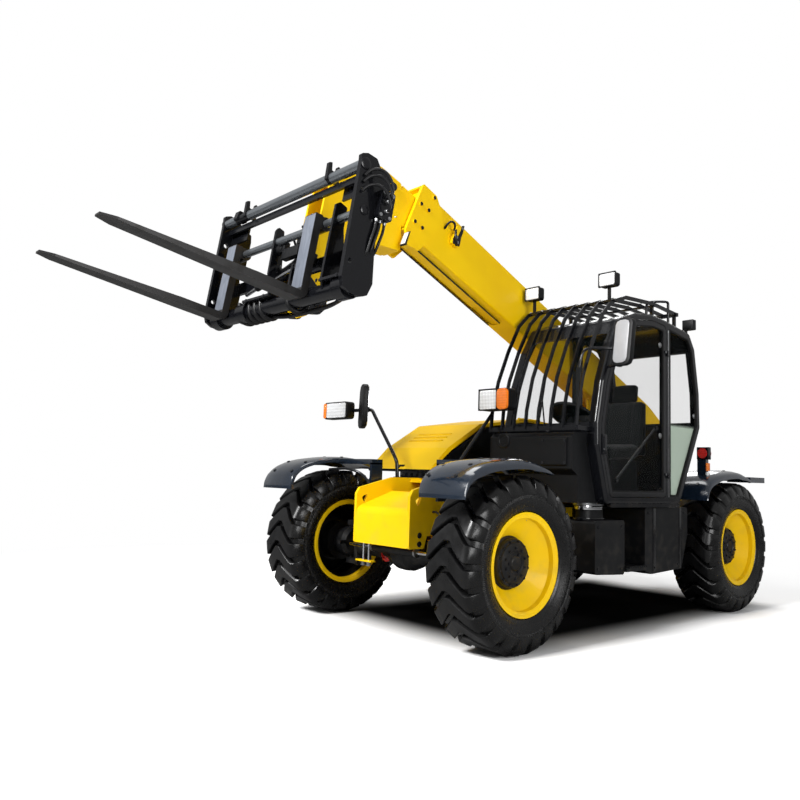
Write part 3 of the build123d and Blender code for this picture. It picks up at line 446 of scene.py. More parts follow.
def plate(place, outline, low, high):
    """An outline of (second, third) coordinates, grown along the first from low to high."""
    count = len(outline)
    corners = [place(x, *point) for x in (low, high) for point in outline]
    walls = [(i, (i + 1) % count, (i + 1) % count + count, i + count) for i in range(count)]
    return corners, [tuple(range(count)), tuple(range(count, 2 * count))] + walls


def block(centre, size, place=on_machine):
    """A box by its centre and its size."""
    (x, y, z), (a, b, c) = centre, [s / 2 for s in size]
    return plate(place, [(y - b, z - c), (y + b, z - c), (y + b, z + c), (y - b, z + c)], x - a, x + a)


def turned(centre, axis, profile, steps=40):
    """A profile of (radius, distance along the axis), turned round the axis through a centre in metres."""
    axis = Vector(axis).normalized()
    side = axis.orthogonal().normalized()
    other = axis.cross(side)
    corners, faces = [], []
    for radius, along in profile:
        for i in range(steps):
            angle = 2 * pi * i / steps
            corners.append(centre + (axis * along + (side * cos(angle) + other * sin(angle)) * radius) / 1000)
    for ring in range(len(profile) - 1):
        for i in range(steps):
            a, b = ring * steps + i, ring * steps + (i + 1) % steps
            faces.append((a, b, b + steps, a + steps))
    for ring in (0, len(profile) - 1):
        if profile[ring][0] > 0.5:
            faces.append(tuple(range(ring * steps, ring * steps + steps)))
    return corners, faces


def rod(start, end, radius, steps=20):
    """A round bar between two points in metres."""
    length = (end - start).length * 1000
    edge = min(2, radius / 4)
    return turned(start, end - start,
        [(radius - edge, 0), (radius, edge), (radius, length - edge), (radius - edge, length)], steps)


def caps(place, x, second, third, profile, steps):
    """A turned cap on each side of the machine, facing out."""
    return [turned(place(side * x, second, third), (side, 0, 0), profile, steps) for side in SIDES]


WELD = 0.00002
SHARP = radians(40)


def mended(mesh, weld=False, rounding=0.0):
    """Points the faces outwards, closing seams and rounding sharp edges (in mm) where asked."""
    edit = bmesh.new()
    edit.from_mesh(mesh)
    if weld:
        bmesh.ops.remove_doubles(edit, verts=edit.verts, dist=WELD)
    bmesh.ops.recalc_face_normals(edit, faces=edit.faces)
    if rounding:
        sharp = [e for e in edit.edges if len(e.link_faces) == 2 and e.calc_face_angle() > SHARP]
        bmesh.ops.bevel(edit, geom=sharp, offset=rounding / 1000, segments=2, profile=0.6, affect="EDGES",
            clamp_overlap=True)
        bmesh.ops.recalc_face_normals(edit, faces=edit.faces)
    edit.to_mesh(mesh)
    edit.free()
    return mesh


def as_mesh(body):
    """The mesh that an object's modifiers or curve give."""
    return bpy.data.meshes.new_from_object(body.evaluated_get(bpy.context.evaluated_depsgraph_get()))


def hang(name, mesh, finish, body, crease=32):
    """Shades a mesh, gives it its finish and hangs it on a body."""
    mesh.shade_smooth()
    mesh.set_sharp_from_angle(angle=radians(crease))
    mesh.materials.clear()
    mesh.materials.append(finish)
    for face in mesh.polygons:
        face.material_index = 0
    made = in_scene(name, mesh)
    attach(made, body)
    return made


def piece(name, finish, body, *shapes, rounding=0.0, crease=32):
    """Joins shapes into one piece on a body of the model; rounding is in millimetres."""
    corners, faces = [], []
    for points, loops in shapes:
        faces += [tuple(i + len(corners) for i in loop) for loop in loops]
        corners += points
    mesh = bpy.data.meshes.new(name)
    mesh.from_pydata(corners, [], faces)
    return hang(name, mended(mesh, True, rounding), finish, body, crease)


def bent(name, finish, body, place, points, radius):
    """A hose or bent tube along a smooth line guided by points."""
    line = bpy.data.curves.new(name, "CURVE")
    line.dimensions, line.resolution_u, line.use_fill_caps = "3D", 6, True
    line.bevel_depth, line.bevel_resolution = radius / 1000, 3
    spline = line.splines.new("NURBS")
    spline.points.add(len(points) - 1)
    for point, guide in zip(spline.points, points):
        point.co = (*place(*guide), 1)
    spline.order_u, spline.use_endpoint_u = 3, True
    drawn = in_scene(name, line)
    bpy.context.view_layer.update()
    mesh = mended(as_mesh(drawn), True)
    bpy.data.objects.remove(drawn)
    return hang(name, mesh, finish, body, 50)


# %% [markdown]
# ## Geometry Nodes for what repeats
# Tread lugs and bolts come in dozens. Geometry Nodes place one small mesh many times by a rule, so the
# rule is written once and its sizes stay named inputs. The result is turned into a plain mesh at the
# end, because the parts library wants plain meshes.

# %% A tree, its inputs and its plain mesh


class Tree:
    """A geometry tree as it is being built."""

    def __init__(self, name, inputs):
        self.group = bpy.data.node_groups.new(name, "GeometryNodeTree")
        self.group.interface.new_socket("Geometry", in_out="INPUT", socket_type="NodeSocketGeometry")
        for label, kind in inputs:
            self.group.interface.new_socket(label, in_out="INPUT", socket_type="NodeSocket" + kind)
        self.group.interface.new_socket("Geometry", in_out="OUTPUT", socket_type="NodeSocketGeometry")
        self.given = self.group.nodes.new("NodeGroupInput")
        self.result = self.group.nodes.new("NodeGroupOutput")

    def input(self, label):
        return self.given.outputs[label]

    def node(self, kind, settings=None, sockets=None, out=0):
        new = self.group.nodes.new(kind)
        for key, value in (settings or {}).items():
            setattr(new, key, value)
        for key, value in (sockets or {}).items():
            if isinstance(value, bpy.types.NodeSocket):
                self.group.links.new(value, new.inputs[key])
            else:
                new.inputs[key].default_value = value
        return new.outputs[out]

    def end(self, geometry):
        """Realizes the copies, gives them the material and closes the tree."""
        plain = self.node("GeometryNodeRealizeInstances", {}, {0: geometry})
        painted = self.node("GeometryNodeSetMaterial", {}, {0: plain, "Material": self.input("Material")})
        self.group.links.new(painted, self.result.inputs[0])
        return self.group


def grow(name, group, mesh, finish, body, crease=32, **values):
    """Runs a tree on a mesh and hangs the plain result on a body."""
    seed = in_scene(name + "_seed", mesh)
    modifier = seed.modifiers.new("tree", "NODES")
    modifier.node_group = group
    wanted = {"Material": finish, **{key.replace("_", " "): value for key, value in values.items()}}
    for socket in group.interface.items_tree:
        if socket.in_out == "INPUT" and socket.name in wanted:
            modifier[socket.identifier] = wanted[socket.name]
    bpy.context.view_layer.update()
    plain = as_mesh(seed)
    seed.modifiers.clear()
    bpy.data.objects.remove(seed)
    return hang(name, plain, finish, body, crease)


print("trees can be grown")

# %% [markdown]
# ## Hexagon bolts
# Every plate on the machine is held by hexagon bolts on washers. One tree sets a bolt on each point
# of a small cloud. Each point carries the direction its bolt faces, as an attribute named `aim`.

# %% Bolt tree
tree = Tree("hexagon_bolts", [("Across", "Float"), ("Height", "Float"), ("Material", "Material")])
head = tree.node("GeometryNodeMeshCylinder", {"fill_type": "NGON"},
    {"Vertices": 6, "Radius": tree.input("Across"), "Depth": tree.input("Height")})
wide = tree.node("ShaderNodeMath", {"operation": "MULTIPLY"}, {0: tree.input("Across"), 1: 1.45})
thin = tree.node("ShaderNodeMath", {"operation": "MULTIPLY"}, {0: tree.input("Height"), 1: 0.34})
washer = tree.node("GeometryNodeMeshCylinder", {"fill_type": "NGON"},
    {"Vertices": 18, "Radius": wide, "Depth": thin})
both = tree.node("GeometryNodeJoinGeometry")
for shape in (head, washer):
    tree.group.links.new(shape, both.node.inputs[0])
aim = tree.node("GeometryNodeInputNamedAttribute", {"data_type": "FLOAT_VECTOR"}, {"Name": "aim"})
turn = tree.node("FunctionNodeAlignRotationToVector", {"axis": "Z"}, {"Vector": aim})
placed = tree.node("GeometryNodeInstanceOnPoints", {},
    {"Points": tree.input("Geometry"), "Instance": both, "Rotation": turn})
BOLTS = tree.end(placed)


def bolts(name, finish, body, spots, across=12, height=12):
    """spots: (point in metres, direction) for each bolt; across is the radius of its head in mm."""
    mesh = bpy.data.meshes.new(name)
    mesh.from_pydata([point for point, _ in spots], [], [])
    aims = mesh.attributes.new("aim", "FLOAT_VECTOR", "POINT")
    for i, (_, direction) in enumerate(spots):
        aims.data[i].vector = Vector(direction).normalized()
    return grow(name, BOLTS, mesh, finish, body, 20, Across=across / 1000, Height=height / 1000)


print("bolt tree with", len(BOLTS.nodes), "nodes")

# %% [markdown]
# ## Tyres
# A rough-terrain tyre has one row of deep chevron lugs, whose ends run square over the shoulder. The
# carcass could be sculpted, but it is a turned shape, so a profile spun round the axle is both quicker
# and rounder. One lug is drawn as a bent bar with sloping walls, and a tree copies it round the wheel.
# The carcass carries a map of how far round and how far out each point is, for the mould lines.

# %% One lug, wrapped on the crown
LUGS = 23


def lug_mesh():
    """The middle line drops from the crown to the shoulders, and the walls slope out to the carcass."""
    stations = [(-207, 471), (-203, 490), (-197, 512), (-188, 533), (-174, 552), (-158, 565), (-140, 570),
        (-95, 571.6), (-45, 572), (-22, 572), (0, 572)]
    stations += [(-x, r) for x, r in reversed(stations[:-1])]
    corners, faces = [], []
    for x, top in stations:
        away = min(max((abs(x) - 22) / 132, 0), 1)
        middle = 60 - 124 * away
        half = 54 - 4 * max(0, abs(x) - 150) / 60
        floor = 532 if abs(x) < 165 else 532 - (abs(x) - 165) * 2.1
        floor = min(floor, top - 12)
        section = [(middle - half - 9, floor), (middle - half - 1, top - 5), (middle - half + 4, top),
            (middle + half - 4, top), (middle + half + 1, top - 5), (middle + half + 9, floor)]
        for along, radius in section:
            angle = along / 560
            corners.append((x / 1000, -cos(angle) * radius / 1000, sin(angle) * radius / 1000))
    for s in range(len(stations) - 1):
        for i in range(6):
            a, b = s * 6 + i, s * 6 + (i + 1) % 6
            faces.append((a, b, b + 6, a + 6))
    faces += [tuple(range(6)), tuple(range(len(corners) - 6, len(corners)))]
    mesh = bpy.data.meshes.new("lug")
    mesh.from_pydata(corners, [], faces)
    return mended(mesh)


LUG = bpy.data.objects.new("lug", lug_mesh())
print("a lug has", len(LUG.data.polygons), "faces")

# %% Tread tree: one lug, copied round the axle
tree = Tree("tread", [("Lugs", "Int"), ("Lug", "Object"), ("Hub", "Vector"), ("Material", "Material")])
one = tree.node("GeometryNodeObjectInfo", {}, {"Object": tree.input("Lug")}, out="Geometry")
points = tree.node("GeometryNodePoints", {}, {"Count": tree.input("Lugs"), "Position": tree.input("Hub")})
index = tree.node("GeometryNodeInputIndex")
share = tree.node("ShaderNodeMath", {"operation": "DIVIDE"}, {0: index, 1: tree.input("Lugs")})
angle = tree.node("ShaderNodeMath", {"operation": "MULTIPLY"}, {0: share, 1: 2 * pi})
round_axle = tree.node("ShaderNodeCombineXYZ", {}, {"X": angle})
copies = tree.node("GeometryNodeInstanceOnPoints", {},
    {"Points": points, "Instance": one, "Rotation": round_axle})
with_carcass = tree.node("GeometryNodeJoinGeometry")
for shape in (copies, tree.input("Geometry")):
    tree.group.links.new(shape, with_carcass.node.inputs[0])
TREAD = tree.end(with_carcass)
print("tread tree with", len(TREAD.nodes), "nodes")

# %% Carcasses, and the four tyres
CARCASS = [(-172, 338), (-178, 341), (-186, 352), (-193, 366), (-199, 384), (-203, 402), (-204.5, 420),
    (-205, 436), (-204.5, 448), (-207, 452), (-207.5, 457), (-205, 462), (-201, 474), (-194, 494), (-182, 514),
    (-160, 531), (-120, 536), (-60, 537), (0, 537)]
CARCASS += [(-x, r) for x, r in reversed(CARCASS[:-1])]
CARCASS += [(150, 334), (100, 312), (0, 309), (-100, 312), (-150, 334)]


def carcass_mesh(hub, steps=138):
    mesh, count = bpy.data.meshes.new("carcass"), len(CARCASS)
    corners = [hub + Vector((x, -cos(2 * pi * i / steps) * r, sin(2 * pi * i / steps) * r)) / 1000
        for i in range(steps) for x, r in CARCASS]
    faces = [(i * count + j, i * count + (j + 1) % count, (i + 1) % steps * count + (j + 1) % count,
            (i + 1) % steps * count + j) for i in range(steps) for j in range(count)]
    mesh.from_pydata(corners, [], faces)
    return mended(mesh)


def axle_angle(y, z):
    """Angle of (y, z) round the axle, from 0 at +Y."""
    return Vector((y, z)).angle_signed(Vector((1, 0)), 0.0)


def wheel_map(mesh, hub):
    """The map: across is the share of a full turn, up is the distance from the axle in metres."""
    across = mesh.uv_layers.get("wheel") or mesh.uv_layers.new(name="wheel")
    for face in mesh.polygons:
        middle = Vector(face.center) - hub
        middle_angle = axle_angle(middle.y, middle.z)
        from_middle = Matrix.Rotation(-middle_angle, 3, "X")
        for loop in face.loop_indices:
            arm = Vector(mesh.vertices[mesh.loops[loop].vertex_index].co) - hub
            near = from_middle @ arm
            turn = (middle_angle + axle_angle(near.y, near.z)) / (2 * pi)
            across.data[loop].uv = (turn, hypot(arm.y, arm.z))


HUBS = {tag: Vector((side * TYRE_MID, axle, WHEEL_Z)) / 1000
    for tag, side, axle in (("fl", 1, AXLE_F), ("fr", -1, AXLE_F), ("rl", 1, AXLE_R), ("rr", -1, AXLE_R))}
for tag, hub in HUBS.items():
    tyre = grow("tyre_" + tag + "_lugged", TREAD, carcass_mesh(hub), RUBBER, "wheel_" + tag, 30, Lugs=LUGS,
        Lug=LUG, Hub=hub)
    wheel_map(tyre.data, hub)
    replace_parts(tyre, "tyre_" + tag)
print("each tyre has", len(tyre.data.polygons), "faces")
bpy.data.objects.remove(LUG)

# %% [markdown]
# ## Hubs
# Inside each dished rim sits a planetary hub: a black drum with an outer ring of twelve nuts, a ring of
# ten cover bolts and three bolts round its middle. The drum is turned on its axle like a pot, wide
# enough to hide the cone of the rim's own hub, and the bolt tree sets all three rings.

# %% Hub drums, nuts and valve stems
NUT_RINGS = (143, 12, 1006), (98, 10, 1021), (60, 3, 1016)  # radius, how many, and how far out
DRUM = [(176, 956), (171, 962), (162, 965), (160, 972), (160, 994), (154, 1003), (136, 1005), (132, 1013),
    (116, 1018), (78, 1020), (72, 1014), (50, 1014), (46, 1022), (40, 1026), (0, 1026)]


def ring(count, start=0.0):
    """Angles in equal steps round a full turn."""
    return [2 * pi * (i + start) / count for i in range(count)]


for tag, hub in HUBS.items():
    side = 1 if hub.x > 0 else -1
    centre = Vector((0, hub.y, hub.z))
    piece("hub_" + tag, CAST, "wheel_" + tag, turned(centre, (side, 0, 0), DRUM, 72))
    bolts("hub_bolts_" + tag, BLACK, "wheel_" + tag,
        [(centre + Vector((side * x, r * cos(a), r * sin(a))) / 1000, (side, 0, 0)) for r, n, x in NUT_RINGS
            for a in ring(n, 0.5)], 7, 13)
    stem = centre + Vector((side * 1020, 60, 268)) / 1000
    piece("valve_" + tag, ZINC, "wheel_" + tag, rod(stem, stem + Vector((side * 0.034, 0.004, 0.012)), 4, 10))
print("four hubs")

# %% [markdown]
# ## Boom fittings
# The outer boom ends in a bolted collar that guides the inner one. Hose clips ride on its flank, a work
# lamp hangs under it, and two steel pipes feed the carriage from inside the head. The bolts face left
# and right, so the bolt tree gets two directions.

# %% Collar bolts, pin caps and hose clips
COLLAR = [(3754, 61), (3671, 63), (3750, -101), (3668, -101), (3662, 190)]
spots = [(on_boom(side * 157, s, t), (side, 0, 0)) for s, t in COLLAR for side in SIDES]
bolts("collar_bolts", BLACK, "outer_boom", spots, 10, 7)
piece("boom_pin_caps", BLACK, "outer_boom",
    *caps(on_boom, 185, 0, 0, [(62, 0), (66, 3), (66, 9), (60, 13), (46, 13)], 36))
piece("boom_end_frame", YELLOW, "outer_boom",
    plate(on_boom, [(3786, 206), (3797, 206), (3797, 214), (3786, 214)], -118, 118),
    plate(on_boom, [(3782, -201), (3797, -201), (3797, -190), (3782, -190)], -118, 118), rounding=2)
clip = [(3288, -2), (3352, -18), (3370, 20), (3362, 60), (3300, 66)]
piece("hose_clip", CAST, "outer_boom", plate(on_boom, clip, 158, 172),
    plate(on_boom, [(3300, 40), (3332, 30), (3322, 178), (3306, 186), (3296, 120)], 150, 166), rounding=3)
bent("clip_hose_upper", HOSE, "outer_boom", on_boom,
    [(150, 3380, 96), (172, 3392, 100), (186, 3424, 122), (176, 3454, 118), (150, 3462, 92), (126, 3452, 60)],
    9)
bent("clip_hose_lower", HOSE, "outer_boom", on_boom,
    [(176, 3382, 86), (182, 3372, 40), (186, 3352, 10), (176, 3330, -8), (160, 3316, -6)], 10)
bolts("clip_bolts", ZINC, "outer_boom",
    [(on_boom(174, 3320, 12), (1, 0, 0)), (on_boom(174, 3346, 44), (1, 0, 0)),
        (on_boom(168, 3312, 150), (1, 0, 0))], 8, 8)
print("collar and clips")

# %% Work lamp, feed pipes, hose guide and tilt pins
piece("boom_lamp_lens", CLEAR_LENS, "outer_boom",
    plate(on_boom, [(3792, -348), (3797, -346), (3799, -250), (3793, -246)], 152, 202), rounding=3)
piece("boom_lamp_rim", PLASTIC, "outer_boom",
    plate(on_boom, [(3778, -356), (3793, -354), (3796, -240), (3786, -238)], 144, 210), rounding=5)
for number, (x, start) in enumerate(((52, 3868), (88, 3890))):
    bent("head_pipe_" + str(number), YELLOW, "inner_boom", on_boom,
        [(x, start + s, t)
            for s, t in ((0, -150), (-4, -196), (-30, -226), (-14, -262), (22, -318), (52, -372))], 8)
bolts("head_pipe_nuts", ZINC, "inner_boom",
    [(on_boom(52, 3868, -150), (0, 0.3, -1)), (on_boom(88, 3890, -152), (0, 0.3, -1))], 14, 20)
rail = [(2500, -196), (3650, -196), (3650, -204), (2500, -204)]
piece("hose_guide", BLACK, "outer_boom", plate(on_boom, rail, -96, -84), plate(on_boom, rail, 30, 42),
    rounding=2)
piece("tilt_pin_caps", BLACK, "inner_boom",
    *caps(on_carriage, 134, -330, 100, [(30, -4), (38, -3), (38, 5), (32, 9), (10, 9)], 30),
    *caps(on_boom, 116, 4012.1, 28.6, [(24, -3), (31, -2), (31, 5), (26, 8), (8, 8)], 30))
print("lamp, pipes and pins")

# %% [markdown]
# ## Carriage plumbing
# Behind the forks a locking valve holds the attachment pins. Short hoses leave it in tight loops, and
# thick hose guards curve under the lower tube. Hoses hold their bend by their own stiffness, so each
# is one smooth line through a few points with a round section. Fork shanks are rubbed bright by
# pallets, so their fronts get a thin scuffed face, and the bars they hang on are ground steel.

# %% Scuffed shank faces, shaft and top tube
TOP_TUBE, FORK_SHAFT = (-35, 750), (-85, 470)  # how far out and up the carriage
AHEAD, UP_SHANK = (0, -cos(FORKS), sin(FORKS)), (0, sin(FORKS), cos(FORKS))


def shaft(spans, spot, radius, steps):
    """Lengths of one round bar that runs across the carriage."""
    return [rod(on_carriage(start, *spot), on_carriage(end, *spot), radius, steps) for start, end in spans]


for name, x in (("left", 392), ("right", -582)):
    body = "fork_" + name
    front = plate(on_carriage, [(0, 20), (2.2, 24), (2.2, 506), (0, 512)], x - 56, x + 56)
    piece("shank_face_" + name, SCUFFED, body, front, rounding=0.8)
    bolts("shank_stop_" + name, BLACK, body, [(on_carriage(x, -20, 517), UP_SHANK)], 14, 14)
piece("tube_caps", BLACK, "carriage",
    *[turned(on_carriage(side * 830, *spot), (side, 0, 0), [(r, -2), (r, 5), (r - 5, 8), (r * 0.4, 8)], 36)
        for side in SIDES for spot, r in ((TOP_TUBE, 37), (FORK_SHAFT, 30))])
piece("fork_shaft", SHAFT, "carriage", *shaft(((799, 455), (329, -519), (-645, -799)), FORK_SHAFT, 26.2, 32))
piece("top_tube_skin", SHAFT, "carriage", *shaft(((799, 502), (472, -488), (-652, -799)), TOP_TUBE, 33.8, 40))
bolts("ledge_bolts", BLACK, "carriage", [(on_carriage(x, -24, 52), AHEAD) for x in (560, 760, -40, -260)], 9, 6)
print("shanks and shafts")

# %% Valve block, locking valve and hoses
PORTS = (-235, -200, -172)
bolts("valve_bolts", ZINC, "carriage",
    [(on_carriage(877, d, n), (1, 0, 0)) for d in (-244, -176) for n in (474, 618)], 8, 8)
piece("valve_fittings", ZINC, "carriage",
    *[rod(on_carriage(874, -205, n), on_carriage(900, -205, n), 13, 16) for n in (500, 560, 600)],
    *[rod(on_carriage(846, d, 452), on_carriage(846, d, 430), 11, 16) for d in PORTS], rounding=1.5)
for number, (start, way) in enumerate(((500, 640), (560, 700), (600, 742))):
    bent("valve_hose_" + str(number), HOSE, "carriage", on_carriage,
        [(898, -205, start), (922, -205, start + 4), (926, -190, start + 60), (905, -150, way - 20),
            (870, -110, way), (845, -60, way - 26), (838, -40, way - 70)], 9)
for number, d in enumerate(PORTS):
    bent("side_hose_" + str(number), HOSE, "carriage", on_carriage,
        [(846, d, 432), (848, d, 390), (846, d + 12, 330), (838, d + 20, 270 - 20 * number),
            (815, d + 16, 240 - 20 * number), (786, d + 10, 236 - 20 * number)], 9)
piece("locking_valve", CAST, "carriage", block((60, -116, 372), (190, 44, 74), on_carriage),
    block((150, -116, 440), (44, 48, 60), on_carriage), block((-40, -114, 430), (50, 40, 70), on_carriage),
    turned(on_carriage(150, -116, 470), UP_SHANK,
        [(24, 0), (28, 4), (28, 20), (14, 34), (12, 60), (20, 62), (20, 72), (6, 76)], 24),
    turned(on_carriage(-112, -108, 420), (1, 0, 0), [(20, 0), (34, 6), (34, 44), (22, 50), (22, 70)], 24),
    rounding=3)
piece("lock_rod", CHROME, "carriage", rod(on_carriage(-84, -120, 219), on_carriage(150, -120, 258), 13, 20),
    rod(on_carriage(-430, -110, 150), on_carriage(-300, -110, 180), 14, 20))
piece("lock_cylinders", CAST, "carriage", rod(on_carriage(150, -120, 258), on_carriage(300, -120, 283), 24, 28),
    rod(on_carriage(-300, -110, 180), on_carriage(-190, -110, 205), 25, 28),
    block((310, -120, 286), (36, 56, 60), on_carriage), block((-182, -110, 208), (30, 54, 56), on_carriage),
    rounding=2)
loops = [
    ((150, -150, 520), (190, -120, 560), (230, -100, 520), (236, -96, 440), (200, -110, 380), (180, -130, 350)),
    ((60, -140, 412), (64, -110, 470), (10, -96, 500), (-50, -100, 470), (-60, -120, 420)),
    ((-110, -130, 420), (-150, -110, 400), (-168, -100, 340), (-140, -106, 280), (-90, -124, 262)),
    ((100, -140, 340), (120, -110, 300), (60, -96, 262), (-10, -100, 250), (-60, -118, 300)),
    ((200, -130, 340), (250, -110, 330), (290, -108, 300), (304, -112, 318))]
for number, points in enumerate(loops):
    bent("lock_hose_" + str(number), HOSE, "carriage", on_carriage, points, 8)
print("valves and hoses")

# %% Hose guards under the lower tube
for number, x in enumerate((-408, -338, -268, -198, -128, 200)):
    bent("hose_guard_" + str(number), HOSE, "carriage", on_carriage,
        [(x, -64, 66), (x + 8, -60, 20), (x + 20, -74, -44), (x + 34, -112, -66), (x + 52, -160, -62),
            (x + 66, -182, -20), (x + 70, -178, 40)], 17)
bent("long_hose", HOSE, "carriage", on_carriage,
    [(-60, -150, -50), (60, -165, -64), (220, -168, -66), (420, -166, -66), (580, -160, -60), (660, -150, -40),
        (690, -150, 0)], 13)
bent("long_hose_low", HOSE, "carriage", on_carriage,
    [(-40, -186, -30), (80, -192, -42), (300, -194, -44), (480, -192, -42), (640, -180, -30), (700, -170, 6)],
    13)
print("hose guards")

# %% [markdown]
# ## Nose, deck and engine side
# The nose is a welded yellow box. Below it two bright guide rods carry a small yellow plate, and the
# tow point beside them is dull red. Bolts hold the deck, a rubber strip seals the hood against its
# bay, and dark mesh lies behind the louvres so that nobody can reach the fan.

# %% Nose rods, tow point and deck bolts
piece("guide_rods", CHROME, "chassis",
    *[rod(on_machine(x, -822, 612), on_machine(x, -822, 440), 9, 18) for x in (-250, -187)])
piece("guide_plate", YELLOW, "chassis", block((-226, -822, 476), (180, 46, 12)), rounding=2)
bolts("guide_nuts", ZINC, "chassis",
    [(on_machine(x, -822, z), (0, 0, -1)) for x in (-250, -187) for z in (463, 446)], 15, 14)
# The tow point wears the red lens finish, with its faint painted glow.
piece("tow_point", RED, "chassis",
    turned(on_machine(-192, -640, 520), (0, -1, 0),
        [(52, -40), (58, -34), (58, 8), (50, 16), (34, 20), (30, 12), (0, 12)], 36))
DECK = (0, -0.327, 0.945)  # square to the sloping deck
bolts("deck_bolts", BLACK, "chassis",
    [(on_machine(x, y, z), DECK) for y, z, row in ((-700, 928, (-200, 0, 200)), (-560, 976, (-230, 230)))
        for x in row], 10, 8)
bolts("frame_bolts", BLACK, "chassis",
    [(on_machine(side * 311, y, z), (side, 0, 0)) for side in SIDES
        for y, z in ((-780, 700), (-780, 640), (1700, 820), (1760, 640), (2000, 1040), (2900, 900))], 14, 10)
piece("lift_pin_caps", BLACK, "chassis",
    *caps(on_machine, 322, 2560, 900, [(35, -2), (48, 0), (48, 8), (42, 12), (10, 12)], 30),
    *caps(on_machine, 222, 2715, 1620, [(40, -2), (56, 0), (56, 8), (50, 12), (12, 12)], 36))
print("nose and frame")

# %% Louvre mesh, hood seal and latch


def on_slope(x, along, out):
    """x to the left, then up the hood's sloping face and square to it."""
    return on_machine(x, 60 + 0.866 * along - 0.501 * out, 1405 + 0.501 * along + 0.866 * out)


piece("louvre_mesh", PLASTIC, "hood", plate(on_slope, [(8, -26), (184, -26), (184, -30), (8, -30)], -800, -340))
for number in range(3):
    a = 21 + 62 * number
    lip = [(a, -6), (a + 3, 5), (a + 9, 5), (a + 5, -8)]
    piece("louvre_lip_" + str(number), YELLOW, "hood", plate(on_slope, lip, -772, -368), rounding=1)
piece("hood_latch", BLACK, "hood", block((-570, -196, 1190), (110, 14, 34)),
    turned(on_machine(-570, -204, 1190), (0, -1, 0), [(15, 0), (15, 8), (10, 12), (4, 12)], 24), rounding=3)
piece("hood_seal", SEAL, "chassis",
    plate(on_machine, [(-216, 1171), (-216, 1162), (1664, 1162), (1664, 1171)], -958, -948),
    plate(on_machine, [(-222, 1171), (-222, 1156), (-212, 1156), (-212, 1171)], -958, -184))
bolts("grille_bolts", ZINC, "chassis", [(on_machine(x, -222, 1130), (0, -1, 0)) for x in (-520, -220)], 8, 7)
bolts("skirt_bolts", BLACK, "chassis",
    [(on_machine(-961, y, 1080), (-1, 0, 0)) for y in (240, 560, 880, 1200, 1540)], 9, 7)
print("hood details")

# %% [markdown]
# ## Axles and knuckles
# Rings of bolts hold the housings of the axles and knuckles, bright rods come out of the steering
# cylinders, and brake hoses arc from each end of the axle up to the frame. Every piece rides on the
# knuckle or on the chassis, never across both, so nothing tears when the wheels steer.

# %% Axle bolts, steering cylinder ends and brake hoses
for tag, axle, out in (("front", AXLE_F, -1), ("rear", AXLE_R, 1)):
    bolts("banjo_bolts_" + tag, BLACK, "chassis",
        [(on_machine(side * 52, axle + 124 * cos(a), WHEEL_Z - 20 + 124 * sin(a)), (side, 0, 0))
            for side in SIDES for a in ring(12)], 8, 16)
    steering = axle + out * 150
    piece("steer_glands_" + tag, ZINC, "chassis",
        *caps(on_machine, 226, steering, WHEEL_Z, [(20, 0), (33, 2), (33, 20), (20, 24)], 28))
    piece("steer_rods_" + tag, CHROME, "chassis",
        *[rod(on_machine(side * 248, steering, WHEEL_Z), on_machine(side * 519, steering, WHEEL_Z), 14.6, 20)
            for side in SIDES])
    for side, end in ((-1, "_r"), (1, "_l")):
        bent("brake_hose_" + tag + end, HOSE, "chassis", on_machine,
            [(side * x, axle + out * y, WHEEL_Z + z)
                for x, y, z in ((500, 40, 90), (480, 60, 170), (420, 90, 260), (350, 80, 300), (312, 70, 290))],
            8)
for tag, hub in HUBS.items():
    side = 1 if hub.x > 0 else -1
    bolts("knuckle_bolts_" + tag, ZINC, "knuckle_" + tag,
        [(Vector((side * 0.712, hub.y + 0.104 * cos(a), hub.z + 0.104 * sin(a))), (-side, 0, 0))
            for a in ring(8, 0.5)], 9, 14)
    piece("kingpin_caps_" + tag, BLACK, "knuckle_" + tag,
        *[turned(Vector((side * 0.7, hub.y, hub.z + up * 0.1295)), (0, 0, up),
                [(24, -2), (34, 0), (34, 7), (26, 12), (8, 12)], 28) for up in (-1, 1)])
print("axles dressed")

# %% [markdown]
# ## Lamps, lenses and mirrors
# Every lamp is a dark case with a clear fluted lens in front, and the head lamp has an amber indicator
# on its outer side. A lens stands a few millimetres proud of its case and has rounded edges, so that it
# reads as a separate moulding. The mirrors are silvered glass in plastic frames. The imported model has
# their heads standing square to the machine, so they are drawn again as a driver sets them: the left
# head leans back and has a pale grey face to the front, a painted highlight on its glossy back, and the
# right head is turned inwards on a bent pole. A head is drawn flat, and a place function of its own
# leans or turns it.

# %% Head lamp and roof lamps
def upright(y, x, z):
    """For plates that face forwards: depth first, then across and up."""
    return on_machine(x, y, z)


def panel(x, z, width, height, corner=12):
    """Rectangle with clipped corners, seen from the front."""
    a, b, c, d = width / 2, height / 2, corner, corner * 0.3
    return [(x - a + c, z - b), (x + a - c, z - b), (x + a - d, z - b + d), (x + a, z - b + c),
        (x + a, z + b - c), (x + a - d, z + b - d), (x + a - c, z + b), (x - a + c, z + b),
        (x - a + d, z + b - d), (x - a, z + b - c), (x - a, z - b + c), (x - a + d, z - b + d)]


